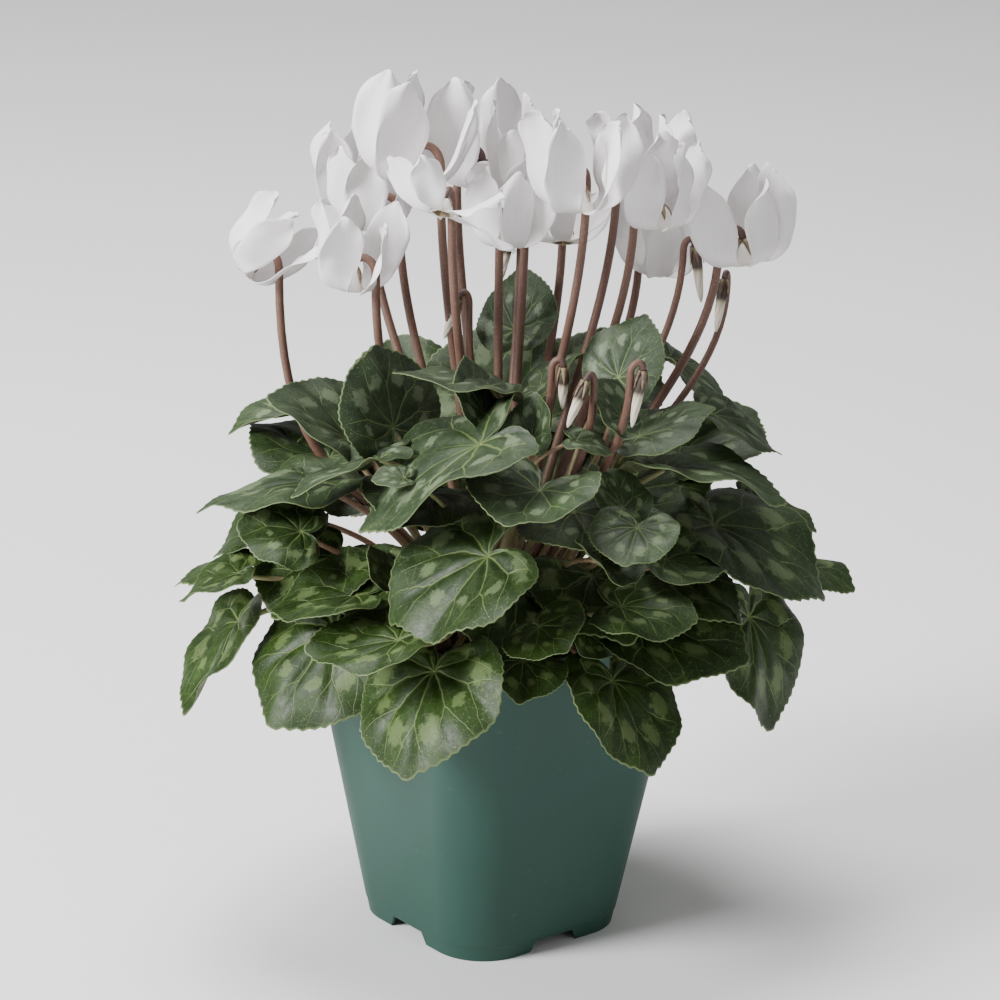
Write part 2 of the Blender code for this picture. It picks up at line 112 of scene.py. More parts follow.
def blend(tree, share, a, b):
    """Colour a where share is 0 and b where it is 1; a and b are colours or sockets."""
    node = tree.nodes.new("ShaderNodeMix")
    node.data_type = "RGBA"
    for i, value in ((0, share), (6, a), (7, b)):
        if isinstance(value, bpy.types.NodeSocket):
            tree.links.new(value, node.inputs[i])
        else:
            node.inputs[i].default_value = (*value, 1) if i else value
    return node.outputs[2]


def put_object(name, mesh, materials):
    obj = bpy.data.objects.new(name, mesh)
    bpy.context.scene.collection.objects.link(obj)
    for material in materials:
        mesh.materials.append(material)
    return obj


def board_material():
    material, tree, shader = material_tree("white_board")
    grain = put(tree, "TexNoise", Scale=90.0, Detail=4.0)
    tint = blend(tree, grain.outputs["Fac"], [c * 0.985 for c in TABLE_WHITE], TABLE_WHITE)
    tree.links.new(tint, shader.inputs["Base Color"])
    shader.inputs["Roughness"].default_value = 0.9
    return material


def lay_board():
    half = FLOOR_SIZE / 2
    corners = [(-half, -half, 0), (half, -half, 0), (half, half, 0), (-half, half, 0)]
    mesh = bpy.data.meshes.new("board")
    mesh.from_pydata(corners, [], [(0, 1, 2, 3)])
    put_object("board", mesh, [board_material()])


def soft_box(name, place, aim, size, watts):
    light = bpy.data.lights.new(name, "AREA")
    light.shape = "DISK"
    light.size = size
    light.energy = watts
    obj = bpy.data.objects.new(name, light)
    bpy.context.scene.collection.objects.link(obj)
    obj.location = place
    obj.rotation_euler = (Vector(place) - Vector(aim)).to_track_quat("Z", "Y").to_euler()


def light_table():
    world = bpy.data.worlds.new("studio")
    bpy.context.scene.world = world
    world.use_nodes = True
    world.node_tree.nodes["Background"].inputs["Color"].default_value = (1, 1, 1, 1)
    world.node_tree.nodes["Background"].inputs["Strength"].default_value = 0.30
    middle = (AXIS.x, 0, 0.2)
    soft_box("soft_box_left", (-1.8, -1.0, 1.2), middle, 0.9, 105)
    soft_box("soft_box_right", (1.6, -1.7, 0.9), middle, 1.2, 5)
    soft_box("overhead", (-0.3, 0.4, 1.9), middle, 1.2, 48)


# The camera stands a long way off, a little above the flowers, turned a degree from level.
CAMERA_AIM = Vector((AXIS.x + 0.0005, 0, 0.1725))
CAMERA_REACH = 1.7
CAMERA_ABOVE = math.radians(18.5)
CAMERA_ROLL = math.radians(1.2)
CAMERA_LENS = 159.0


def place_camera():
    camera = bpy.data.cameras.new("camera")
    camera.lens = CAMERA_LENS
    camera.sensor_width = 36
    obj = bpy.data.objects.new("camera", camera)
    bpy.context.scene.collection.objects.link(obj)
    back = Vector((0, -math.cos(CAMERA_ABOVE), math.sin(CAMERA_ABOVE)))
    side = Vector((1, 0, 0))
    top = back.cross(side)
    right = side * math.cos(CAMERA_ROLL) + top * math.sin(CAMERA_ROLL)
    up = top * math.cos(CAMERA_ROLL) - side * math.sin(CAMERA_ROLL)
    turn = Matrix((right, up, back)).transposed().to_4x4()
    obj.matrix_world = Matrix.Translation(CAMERA_AIM + back * CAMERA_REACH) @ turn
    bpy.context.scene.camera = obj


lay_board()
light_table()
place_camera()


# The pot
# A square nursery pot, injection moulded in matt green plastic. It tapers to the ground, its corners are
# broad curves, and it stands on four corner feet between which water drains out.

POT_TURN = 38.0
POT_HEIGHT = 130.0
POT_TOP_SIDE, POT_BASE_SIDE = 122.0, 81.0
POT_TOP_CORNER, POT_BASE_CORNER = 26.0, 21.0
POT_WALL = 1.5
POT_CORNER_STEPS = 14
FOOT_HEIGHT = 6.4
FLOOR_THICK = 2.0
NOTCH_HEIGHT, NOTCH_WIDTH, NOTCH_SLANT = 5.2, 24.0, 3.0
DRAIN_RADIUS, DRAIN_OFFSET = 4.5, 21.0
POT_GREEN = (0.0185, 0.062, 0.046)
POT_GREEN_DARK = (0.0155, 0.053, 0.040)


def pot_ring(z, inset, steps=POT_CORNER_STEPS):
    """Points round the pot at height z, moved in from its outer wall by inset."""
    share = z / POT_HEIGHT
    side = POT_BASE_SIDE + (POT_TOP_SIDE - POT_BASE_SIDE) * share - 2 * inset
    corner = POT_BASE_CORNER + (POT_TOP_CORNER - POT_BASE_CORNER) * share - inset
    points = []
    for quarter in range(4):
        spin = Matrix.Rotation(math.radians(90 * quarter + POT_TURN), 3, "Z")
        for step in range(steps + 1):
            a = math.radians(90 * step / steps)
            reach = side / 2 - corner
            point = Vector((reach + corner * math.cos(a), reach + corner * math.sin(a), z))
            points.append(AXIS + (spin @ point) * MM)
    return points


def ring_of(bm, points):
    return [bm.verts.new(p) for p in points]


def bridge(bm, lower, upper, index=0, closed=True):
    """Faces between two rows of as many vertices, with this material index."""
    count = len(lower)
    for i in range(count if closed else count - 1):
        j = (i + 1) % count
        bm.faces.new((lower[i], lower[j], upper[j], upper[i])).material_index = index


def fan(bm, ring, index=0):
    """Closes a ring with triangles to its middle."""
    middle = bm.verts.new(sum((v.co for v in ring), Vector()) / len(ring))
    for i in range(len(ring)):
        bm.faces.new((ring[i], ring[(i + 1) % len(ring)], middle)).material_index = index
    return middle


def mesh_of(name, bm, smooth=True):
    bmesh.ops.recalc_face_normals(bm, faces=bm.faces)
    mesh = bpy.data.meshes.new(name)
    bm.to_mesh(mesh)
    bm.free()
    if smooth:
        mesh.shade_smooth()
    return mesh


def pot_material():
    """Matt green plastic with the fine even grain of its mould, faintly mottled, with a few pale scuffs."""
    material, tree, shader = material_tree("pot_plastic")
    place = put(tree, "TexCoord").outputs["Object"]
    cloud = put(tree, "TexNoise", Vector=place, Scale=14.0, Detail=5.0, Roughness=0.6).outputs["Fac"]
    grain = put(tree, "TexNoise", Vector=place, Scale=1400.0, Detail=2.0).outputs["Fac"]
    scuffs = put(tree, "TexNoise", Vector=place, Scale=240.0, Detail=3.0).outputs["Fac"]
    green = blend(tree, fade(tree, cloud, 0.35, 0.7), POT_GREEN_DARK, POT_GREEN)
    pale = calc(tree, "MULTIPLY", fade(tree, scuffs, 0.66, 0.78), 0.12)
    green = blend(tree, pale, green, (0.10, 0.18, 0.15))
    tree.links.new(green, shader.inputs["Base Color"])
    tree.links.new(fade(tree, cloud, 0.3, 0.75, 0.50, 0.62), shader.inputs["Roughness"])
    shader.inputs["Specular IOR Level"].default_value = 0.3
    bump = put(tree, "Bump", Strength=0.12, Distance=0.0004, Height=grain)
    tree.links.new(bump.outputs["Normal"], shader.inputs["Normal"])
    return material


def cut_from(obj, bm):
    """Cuts the closed shape in bm out of obj for good."""
    cutter = put_object("cutter", mesh_of("cutter", bm, smooth=False), [])
    modifier = obj.modifiers.new("cut", "BOOLEAN")
    modifier.operation = "DIFFERENCE"
    modifier.object = cutter
    graph = bpy.context.evaluated_depsgraph_get()
    mesh = bpy.data.meshes.new_from_object(obj.evaluated_get(graph))
    obj.modifiers.clear()
    obj.data = mesh
    bpy.data.objects.remove(cutter)


def notch_shape():
    bm = bmesh.new()
    for quarter in range(2):
        spin = Matrix.Rotation(math.radians(90 * quarter + POT_TURN), 3, "Z")
        half, top = NOTCH_WIDTH / 2, NOTCH_HEIGHT - 0.4 * quarter
        profile = ((half, -1), (-half, -1), (NOTCH_SLANT - half, top), (half - NOTCH_SLANT, top))
        ends = []
        for reach in (-POT_BASE_SIDE, POT_BASE_SIDE):
            ends.append(ring_of(bm, [AXIS + (spin @ Vector((reach, x, z))) * MM for x, z in profile]))
        bridge(bm, *ends)
        bm.faces.new(ends[0])
        bm.faces.new(ends[1])
    return bm


def drain_shape():
    bm = bmesh.new()
    places = [(0, 0)]
    for i in range(8):
        places.append((DRAIN_OFFSET * (1.0 if i % 2 else 1.2), 45 * i + POT_TURN))
    for reach, turn in places:
        centre = Vector((reach * math.cos(math.radians(turn)), reach * math.sin(math.radians(turn)), 0))
        rings = []
        for z in (FOOT_HEIGHT - 2, FOOT_HEIGHT + FLOOR_THICK + 2):
            points = []
            for k in range(24):
                a = math.tau * k / 24
                out = Vector((math.cos(a) * DRAIN_RADIUS, math.sin(a) * DRAIN_RADIUS, z))
                points.append(AXIS + (centre + out) * MM)
            rings.append(ring_of(bm, points))
        bridge(bm, *rings)
        bm.faces.new(rings[0])
        bm.faces.new(rings[1])
    return bm


def mould_pot():
    """The wall's section, as height and distance in from the outer face, goes once round the plastic."""
    section = [(FOOT_HEIGHT, POT_WALL), (0.3, POT_WALL), (0, POT_WALL - 0.3), (0, 0.6), (0.3, 0.3)]
    section += [(5.6, 0.3), (5.9, 0.25), (6.2, 0.0), (6.8, 0.0)]
    section += [(z, 0.0) for z in range(14, 122, 9)]
    section += [(123.6, 0.0), (124.0, -0.2), (124.4, -0.85), (124.9, -1.0), (129.2, -1.0), (129.8, -0.75)]
    section += [(130, -0.3), (130, POT_WALL - 0.5), (129.6, POT_WALL), (118, POT_WALL)]
    section += [(FOOT_HEIGHT + FLOOR_THICK, POT_WALL)]
    bm = bmesh.new()
    rings = [ring_of(bm, pot_ring(z, inset)) for z, inset in section]
    for lower, upper in zip(rings, rings[1:]):
        bridge(bm, lower, upper)
    bm.faces.new(rings[0])
    bm.faces.new(rings[-1])
    pot = put_object("moulded_pot", mesh_of("moulded_pot", bm), [pot_material()])
    cut_from(pot, notch_shape())
    cut_from(pot, drain_shape())
    pot.data.set_sharp_from_angle(angle=math.radians(35))
    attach(pot, "root")
    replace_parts(pot, "pot")


mould_pot()


# The potting mix
# Dark, damp peat and bark. Its surface is uneven, and loose crumbs of it lie on top.

SOIL_LEVEL = 116.0
SOIL_RINGS, SOIL_CORNER_STEPS = 30, 22
CRUMBS = 520
MIX_DARK = (0.010, 0.007, 0.005)
MIX_BROWN = (0.050, 0.034, 0.022)


def mix_material():
    material, tree, shader = material_tree("peat_mix")
    place = put(tree, "TexCoord").outputs["Object"]
    lumps = put(tree, "TexNoise", Vector=place, Scale=170.0, Detail=8.0, Roughness=0.7).outputs["Fac"]
    fibres = put(tree, "TexVoronoi", Vector=place, Scale=420.0).outputs["Distance"]
    brown = blend(tree, fade(tree, lumps, 0.35, 0.7), MIX_DARK, MIX_BROWN)
    pale = calc(tree, "MULTIPLY", fade(tree, fibres, 0.25, 0.05), fade(tree, lumps, 0.55, 0.62))
    brown = blend(tree, pale, brown, (0.16, 0.11, 0.07))
    tree.links.new(brown, shader.inputs["Base Color"])
    tree.links.new(fade(tree, lumps, 0.3, 0.8, 0.75, 1.0), shader.inputs["Roughness"])
    bump = put(tree, "Bump", Strength=0.8, Distance=0.0012, Height=lumps)
    tree.links.new(bump.outputs["Normal"], shader.inputs["Normal"])
    return material


def soil_height(point):
    """How far the surface stands above its level at this place."""
    broad = noise.noise(point * 38) * 2.2
    fine = noise.noise(point * 160) * 1.3 + noise.noise(point * 420) * 0.6
    return SOIL_LEVEL - 1.0 + broad + fine


def fill_pot():
    bm = bmesh.new()
    edge = pot_ring(SOIL_LEVEL, POT_WALL + 0.4, SOIL_CORNER_STEPS)
    foot = pot_ring(FOOT_HEIGHT + FLOOR_THICK + 0.4, POT_WALL + 0.4, SOIL_CORNER_STEPS)
    rings = [ring_of(bm, foot)]
    for r in range(SOIL_RINGS):
        share = 1 - r / SOIL_RINGS
        points = []
        for rim in edge:
            p = AXIS + (rim - AXIS) * share
            p.z = soil_height(p) * MM
            points.append(p)
        rings.append(ring_of(bm, points))
    for lower, upper in zip(rings, rings[1:]):
        bridge(bm, lower, upper)
    bm.faces.new(rings[0])
    fan(bm, rings[-1])
    mix = put_object("potting_mix", mesh_of("potting_mix", bm), [mix_material()])
    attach(mix, "root")
    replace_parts(mix, "soil")
    return mix.data.materials[0]


def scatter_crumbs(material):
    draw = random.Random(11)
    bm = bmesh.new()
    for _ in range(CRUMBS):
        turn = draw.uniform(0, math.tau)
        reach = 49 * math.sqrt(draw.random())
        spot = AXIS + Vector((math.cos(turn), math.sin(turn), 0)) * reach * MM
        spot.z = soil_height(spot) * MM + 0.4 * MM
        size = draw.uniform(0.6, 2.1) * MM
        stretch = Matrix.Diagonal((draw.uniform(0.7, 1.9), draw.uniform(0.6, 1.1), draw.uniform(0.4, 0.9), 1))
        pose = Matrix.Translation(spot) @ Matrix.Rotation(turn * 7, 4, "Z") @ Matrix.Rotation(turn, 4, "X")
        lump = bmesh.ops.create_icosphere(bm, subdivisions=1, radius=size, matrix=pose @ stretch)
        for vert in lump["verts"]:
            vert.co += noise.noise_vector(vert.co * 900) * size * 0.35
    crumbs = put_object("mix_crumbs", mesh_of("mix_crumbs", bm, smooth=False), [material])
    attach(crumbs, "root")


scatter_crumbs(fill_pot())


# The tuber
# A flattened, corky brown tuber, half sunk in the mix. Every stalk and stem rises from its crown.

TUBER_RADIUS, TUBER_HALF_HEIGHT, TUBER_CENTRE = 29.0, 13.0, 117.0
TUBER_SIDES, TUBER_BANDS = 64, 30


def tuber_material():
    material, tree, shader = material_tree("tuber_cork")
    place = put(tree, "TexCoord").outputs["Object"]
    rough = put(tree, "TexNoise", Vector=place, Scale=120.0, Detail=8.0, Roughness=0.7).outputs["Fac"]
    cracks = put(tree, "TexVoronoi", {"feature": "DISTANCE_TO_EDGE"}, Vector=place, Scale=130.0)
    brown = blend(tree, fade(tree, rough, 0.3, 0.75), (0.045, 0.026, 0.016), (0.17, 0.11, 0.072))
    brown = blend(tree, fade(tree, cracks.outputs["Distance"], 0.12, 0.0), brown, (0.02, 0.012, 0.008))
    tree.links.new(brown, shader.inputs["Base Color"])
    shader.inputs["Roughness"].default_value = 0.85
    bump = put(tree, "Bump", Strength=0.7, Distance=0.001, Height=rough)
    tree.links.new(bump.outputs["Normal"], shader.inputs["Normal"])
    return material


def grow_tuber():
    bm = bmesh.new()
    rings = []
    for band in range(1, TUBER_BANDS):
        climb = math.pi * band / TUBER_BANDS
        points = []
        for k in range(TUBER_SIDES):
            a = math.tau * k / TUBER_SIDES
            reach = TUBER_RADIUS * math.sin(climb)
            p = Vector((reach * math.cos(a), reach * math.sin(a), -TUBER_HALF_HEIGHT * math.cos(climb)))
            p *= 0.97 + 0.05 * noise.noise(p * 0.09) + 0.02 * noise.noise(p * 0.5)
            points.append(AXIS + (p + UP * TUBER_CENTRE) * MM)
        rings.append(ring_of(bm, points))
    for lower, upper in zip(rings, rings[1:]):
        bridge(bm, lower, upper)
    fan(bm, rings[0])
    fan(bm, rings[-1])
    tuber = put_object("corky_tuber", mesh_of("corky_tuber", bm), [tuber_material()])
    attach(tuber, "root")
    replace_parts(tuber, "tuber")


grow_tuber()


# Leaves
# Each is one grown piece: a fleshy heart-shaped blade, marbled silver between pale veins that spread from
# its joint, finely toothed round the margin, on a stalk that curves up from the tuber.
# The table gives where each blade joins its stalk, which way the midrib points (from +X towards +Y), how
# far its tip dips, how far its left side is raised, and its length, breadth, V-fold and bow.

Leaf = namedtuple("Leaf", "x y z heading dip roll length broad fold bow")
FRONT_LEAVES = (
    # Hanging over the rim.
    Leaf(-23, -86, 134, 248, 42, 20, 42, 1.0, 0.05, -0.15),
    Leaf(10, -84, 138, 269, 20, -9, 21, 1.0, 0.10, -0.10),
    Leaf(44, -73, 127, 309, 40, -10, 40, 0.8, 0.10, -0.15),
    Leaf(54, -51, 144, 346, 12, 20, 44, 0.8, 0.10, -0.15),
    Leaf(-61, -48, 136, 215, 46, -16, 44, 0.9, 0.0, -0.20),
    Leaf(98, -12, 131, 312, 58, -15, 45, 0.8, 0.05, -0.15),
    # The middle ranks, from left to right.
    Leaf(-98, -41, 155, 176, 22, -5, 26, 0.72, 0.30, -0.15),
    Leaf(-100, -14, 126, 227, 44, 28, 42, 0.75, 0.20, -0.10),
    Leaf(-85, 3, 151, 188, 19, 13, 43, 0.8, 0.15, -0.10),
    Leaf(-74, -46, 174, 178, -10, -26, 25, 1.0, 0.05, -0.10),
    Leaf(-53, -62, 155, 174, 12, -10, 34, 0.88, 0.25, -0.05),
    Leaf(-36, -88, 147, 181, 14, -10, 34, 0.85, 0.10, 0.10),
    Leaf(-4, -86, 180, 178, 30, -27, 46, 0.9, 0.05, -0.15),
    Leaf(16, -90, 154, 302, 12, 28, 20, 1.0, 0.05, 0.05),
    Leaf(46, -77, 158, 351, 2, 14, 29, 0.9, 0.15, -0.10),
    Leaf(51, -78, 189, 256, 23, -2, 21, 1.0, 0.20, -0.10),
    Leaf(63, -56, 169, 11, 8, 15, 25, 0.9, 0.20, -0.05),
    Leaf(83, -16, 170, 351, 22, 5, 52, 0.85, 0.10, -0.15),
    Leaf(106, 14, 148, 352, 16, 0, 36, 0.8, 0.10, -0.10),
    Leaf(15, -78, 203, 250, 14, -2, 34, 0.9, 0.30, 0.10),
    # The upper ranks.
    Leaf(-8, -67, 217, 184, 30, -5, 57, 0.75, 0.15, -0.15),
    Leaf(62, -32, 198, 358, 3, -6, 48, 0.7, 0.20, -0.15),
    Leaf(52, -36, 211, 8, -24, 7, 30, 0.75, 0.10, -0.10),
    Leaf(-40, -34, 212, 120, -70, 15, 32, 1.0, 0.05, -0.10),
    Leaf(-58, -22, 204, 184, -34, -15, 35, 0.85, 0.30, -0.10),
    Leaf(-68, -24, 186, 186, 6, 5, 48, 0.7, 0.10, -0.10),
    Leaf(-4, -40, 231, 182, -12, 6, 36, 0.65, 0.15, -0.15),
    Leaf(15, 7, 217, 15, -38, -10, 27, 0.65, 0.20, -0.10),
    Leaf(44, -20, 229, 55, -58, 0, 28, 0.75, 0.05, -0.10),
)
BACK_LEAVES = (
    Leaf(66, 44, 218, 20, 35, 15, 32, 0.75, 0.10, -0.10),
    Leaf(5, 44, 228, 80, -60, -15, 26, 0.8, 0.10, -0.10),
    Leaf(-76, 24, 199, 181, 10, 5, 32, 0.75, 0.30, -0.10),
    Leaf(-66, 50, 170, 145, 28, 5, 46, 1.0, 0.10, -0.15),
    Leaf(-22, 80, 158, 108, 34, -5, 50, 1.0, 0.10, -0.15),
    Leaf(28, 80, 148, 75, 36, 0, 50, 1.0, 0.10, -0.15),
    Leaf(64, 56, 166, 42, 26, 5, 46, 1.0, 0.10, -0.15),
    Leaf(-9, 65, 194, 94, 14, 5, 42, 1.0, 0.15, -0.15),
)
# Young leaves low in the crown, too small to carry anything.
YOUNG_LEAVES = (
    Leaf(33, -70, 145, 356, 37, 19, 14, 1.0, 0.10, -0.10),
    Leaf(38, -70, 173, 289, 20, -25, 20, 0.9, 0.30, 0.20),
    Leaf(46, -58, 190, 135, -45, 6, 22, 0.8, 0.20, -0.10),
    Leaf(100, 20, 168, 354, 23, 3, 27, 0.8, 0.10, -0.10),
    Leaf(45, -48, 222, 180, -53, -30, 18, 0.8, 0.20, -0.10),
    Leaf(12, -55, 215, 78, -69, -19, 18, 0.7, 0.40, 0.10),
    Leaf(28, -62, 217, 2, 14, 5, 15, 0.9, 0.20, -0.10),
    Leaf(-6, -46, 222, 122, -52, 22, 23, 0.8, 0.20, -0.10),
    Leaf(-35, -70, 204, 184, 0, -16, 12, 0.8, 0.20, -0.10),
    Leaf(-45, -50, 205, 187, 17, 9, 37, 0.4, 0.20, -0.10),
    Leaf(-41, -60, 161, 145, -56, 7, 14, 0.9, 0.20, -0.10),
    Leaf(82, 0, 209, 357, 30, 3, 30, 0.7, 0.20, -0.10),
)
# Leaves inside the crown, behind and under the outer ranks.
INNER_LEAVES = (
    Leaf(-30, -50, 160, 255, 25, 5, 38, 0.95, 0.10, -0.10),
    Leaf(6, -52, 158, 275, 30, -5, 38, 0.95, 0.10, -0.10),
    Leaf(36, -48, 160, 295, 25, 5, 36, 0.95, 0.10, -0.10),
    Leaf(62, -30, 156, 330, 20, 0, 38, 0.95, 0.10, -0.10),
    Leaf(-62, -34, 160, 225, 25, 0, 36, 0.95, 0.10, -0.10),
    Leaf(-78, -10, 168, 190, 20, 0, 36, 0.95, 0.10, -0.10),
    Leaf(84, 6, 158, 350, 22, 0, 38, 0.95, 0.10, -0.10),
    Leaf(28, -52, 186, 285, 8, 10, 30, 0.95, 0.15, -0.10),
    Leaf(-26, -46, 190, 240, 5, -8, 30, 0.95, 0.15, -0.10),
    Leaf(-48, 14, 172, 115, -35, 5, 40, 0.95, 0.10, -0.10),
    Leaf(-16, 26, 164, 95, -42, -5, 42, 0.95, 0.10, -0.10),
    Leaf(20, 24, 168, 80, -42, 5, 42, 0.95, 0.10, -0.10),
    Leaf(50, 18, 172, 60, -35, 0, 42, 0.95, 0.10, -0.10),
    Leaf(72, 26, 186, 40, -20, 5, 38, 0.95, 0.10, -0.10),
    Leaf(-66, 14, 184, 150, -14, 0, 36, 0.95, 0.10, -0.10),
    Leaf(0, 42, 196, 90, -48, 0, 42, 0.95, 0.10, -0.10),
    Leaf(34, 40, 198, 75, -48, 0, 38, 0.95, 0.10, -0.10),
    Leaf(-32, 42, 194, 105, -42, 0, 38, 0.95, 0.10, -0.10),
)
BLADE_SPOKES = 108
BLADE_RINGS = (0.06, 0.14, 0.24, 0.35, 0.46, 0.57, 0.68, 0.78, 0.87, 0.94, 0.98, 1.0)
BLADE_THICK = 0.5
VEIN_SPACING = math.radians(40)
VEIN_ARCH = 0.42            # how much the side veins bend forward on the way out
FORK_FROM, FORK_SPREAD = 0.52, 0.50
BLOTCH_REACH, BLOTCH_SIZE = 0.54, 0.07      # shares of the way out from the joint
BLADE_FULLNESS = 1.12
EDGE_WAVE, EDGE_RIPPLE, BLADE_LUMPS = 0.045, 0.020, 0.11      # shares of the blade's length
QUILT_WIDTH, QUILT_RISE, JOINT_DIMPLE = 0.045, 0.022, 0.03
STALK_RADIUS = 1.5
STALK_SIDES, STALK_STEPS = 10, 22
FOOT_ASIDE = 9.0

# The leaves' colours from the low ranks to the upper ones, with painted shade darkening the low ones and a
# painted sheen greying the upper ones.
LOW_GREEN, HIGH_GREEN = (0.018, 0.044, 0.003), (0.038, 0.060, 0.027)
LOW_DARK, HIGH_DARK = (0.010, 0.026, 0.002), (0.020, 0.035, 0.015)
LOW_SILVER, HIGH_SILVER = (0.125, 0.180, 0.060), (0.170, 0.215, 0.130)
VEIN_PALE = (0.17, 0.23, 0.075)
MARGIN_PALE = (0.15, 0.20, 0.08)
UNDERSIDE = (0.105, 0.125, 0.050)
VEIN_UNDER = (0.29, 0.27, 0.16)
STALK_GREEN, STALK_PINK, STALK_HAIR = (0.21, 0.22, 0.09), (0.27, 0.15, 0.10), (0.40, 0.34, 0.24)


def heart(angle):
    """The blade's edge from the joint, as a share of its length: a pointed tip at 0, a notch at 180."""
    off_tip = min(angle, 360 - angle)
    body = 0.84 - 0.66 * (off_tip / 180) ** 2.3
    return body + 0.16 * math.exp(-off_tip / 16) - 0.16 * math.exp((off_tip - 180) / 16)


def direction(heading, dip):
    h, d = math.radians(heading), math.radians(dip)
    return Vector((math.cos(d) * math.cos(h), math.cos(d) * math.sin(h), -math.sin(d)))


def blade_frame(leaf):
    """The blade's own axes: along the midrib, to its left, and out of its upper side."""
    along = direction(leaf.heading, leaf.dip)
    level = UP.cross(along).normalized()
    face = along.cross(level)
    r = math.radians(leaf.roll)
    return along, level * math.cos(r) + face * math.sin(r), face * math.cos(r) - level * math.sin(r)


def vein_gap(x, y):
    """How far this place of a blade is from its nearest main vein, in blade lengths."""
    reach, angle = math.hypot(x, y), math.atan2(y, x)
    turned = (angle + VEIN_ARCH * math.sin(angle) * reach) / VEIN_SPACING
    return abs((turned + 0.5) % 1 - 0.5) * VEIN_SPACING * reach


def blade_height(leaf, x, y, share, seed):
    """How far the blade stands off its plane: folded, bowed, waved at the edge and quilted between veins."""
    angle = math.atan2(y, x)
    height = leaf.fold * (math.sqrt(y * y + 0.01) - 0.1) + leaf.bow * (x * x + y * y)
    broad_wave = EDGE_WAVE * share**2 * math.sin(3 * angle + seed)
    ripple = EDGE_RIPPLE * share**4 * math.sin(8 * angle - 2 * seed)
    height += broad_wave + ripple
    height += BLADE_LUMPS * share * noise.noise(Vector((x * 2.2, y * 2.2, seed)))
    quilt = 1 - math.exp(-((vein_gap(x, y) / QUILT_WIDTH) ** 2))
    dimple = JOINT_DIMPLE * math.exp(-math.hypot(x, y) / 0.06)
    return height + QUILT_RISE * quilt * min(1, 4 * (1 - share)) - dimple


def add_blade(bm, leaf, seed, draw):
    """Both sides of the blade, joined round a toothed margin. Returns the underside's point at the joint."""
    mark = bm.verts.layers.float_vector["blade"]
    far = bm.verts.layers.float["share"]
    along, left, face = blade_frame(leaf)
    joint = AXIS + Vector((leaf.x, leaf.y, leaf.z)) * MM
    swell = [1 + 0.025 * math.sin(2 * math.tau * k / BLADE_SPOKES + seed) for k in range(BLADE_SPOKES)]
    teeth = [(0.011 if k % 2 else -0.011) * draw.uniform(0.5, 1.5) for k in range(BLADE_SPOKES)]

    def point(k, share, side):
        a = math.tau * k / BLADE_SPOKES
        edge = max(heart(math.degrees(a)) * swell[k], 0.05)
        reach = edge * (share + teeth[k] * max(0, (share - 0.9) / 0.1))
        x, y = reach * math.cos(a), reach * math.sin(a)
        wide = y * leaf.broad * BLADE_FULLNESS
        height = blade_height(leaf, x, wide, share, seed)
        flat = (along * x + left * wide + face * height) * leaf.length
        thick = BLADE_THICK * (1 - 0.4 * share) * side / 2
        vert = bm.verts.new(joint + (flat + face * thick) * MM)
        vert[mark] = (x, y, seed)
        vert[far] = share
        return vert

    for side, index in ((1, 0), (-1, 1)):
        middle = point(0, 0, side)
        rings = [[point(k, share, side) for k in range(BLADE_SPOKES)] for share in BLADE_RINGS]
        for k in range(BLADE_SPOKES):
            bm.faces.new((middle, rings[0][k], rings[0][(k + 1) % BLADE_SPOKES])).material_index = index
        for inner, outer in zip(rings, rings[1:]):
            bridge(bm, inner, outer, index)
        if side == 1:
            upper = rings[-1]
    bridge(bm, upper, rings[-1], 0)
    return middle.co.copy()


def tube(bm, path, radii, sides, start_axis, index):
    """Rings of vertices round a path, joined. The first ring's first vertex lies along start_axis."""
    rings = []
    axis = start_axis
    for i, point in enumerate(path):
        tangent = (path[min(i + 1, len(path) - 1)] - path[max(i - 1, 0)]).normalized()
        axis = (axis - tangent * axis.dot(tangent)).normalized()
        other = tangent.cross(axis)
        ring = []
        for k in range(sides):
            a = math.tau * k / sides
            ring.append(bm.verts.new(point + (axis * math.cos(a) + other * math.sin(a)) * radii[i]))
        rings.append(ring)
    for lower, upper in zip(rings, rings[1:]):
        bridge(bm, lower, upper, index)
    return rings


def bezier(a, b, c, d, steps):
    points = []
    for i in range(steps + 1):
        t = i / steps
        u = 1 - t
        points.append(a * u**3 + b * 3 * u * u * t + c * 3 * u * t * t + d * t**3)
    return points


def foot_of(item):
    """Stalks fan out from the tuber like a small copy of the plant, the low ones from nearer its edge."""
    copy = 0.32 - 0.14 * (item.z - 130) / 150
    reach = min(copy * math.hypot(item.x, item.y), TUBER_RADIUS - 2)
    aside = FOOT_ASIDE if 150 < item.z < 180 and item.x > 0 else 0
    turn = math.atan2(item.y, item.x) + math.radians(aside)
    height = TUBER_CENTRE + TUBER_HALF_HEIGHT * math.sqrt(1 - (reach / TUBER_RADIUS) ** 2) - 0.6
    return AXIS + Vector((reach * math.cos(turn), reach * math.sin(turn), height)) * MM


def rise(foot, end, arrival, upright=0.33):
    """The two middle points of a stalk's curve: up from the tuber, and into end along arrival."""
    span = (end - foot).length
    outward = Vector((end.x - foot.x, end.y - foot.y, 0)) / span
    start = (UP + outward * 0.6).normalized()
    return foot + start * span * 0.4, end - arrival * span * upright


def add_stalk(bm, leaf, joint):
    along, _, face = blade_frame(leaf)
    foot = foot_of(leaf)
    end = joint + face * 0.2 * MM
    near_foot, near_end = rise(foot, end, (along + face * 0.6).normalized())
    path = bezier(end, near_end, near_foot, foot, STALK_STEPS)
    thick = STALK_RADIUS * (0.5 + leaf.length / 90) * MM
    radii = [thick * (0.78 + 0.22 * i / STALK_STEPS) for i in range(STALK_STEPS + 1)]
    radii[0] *= 0.75
    rings = tube(bm, path, radii, STALK_SIDES, along, 2)
    fan(bm, rings[0], 2)
    fan(bm, rings[-1], 2)


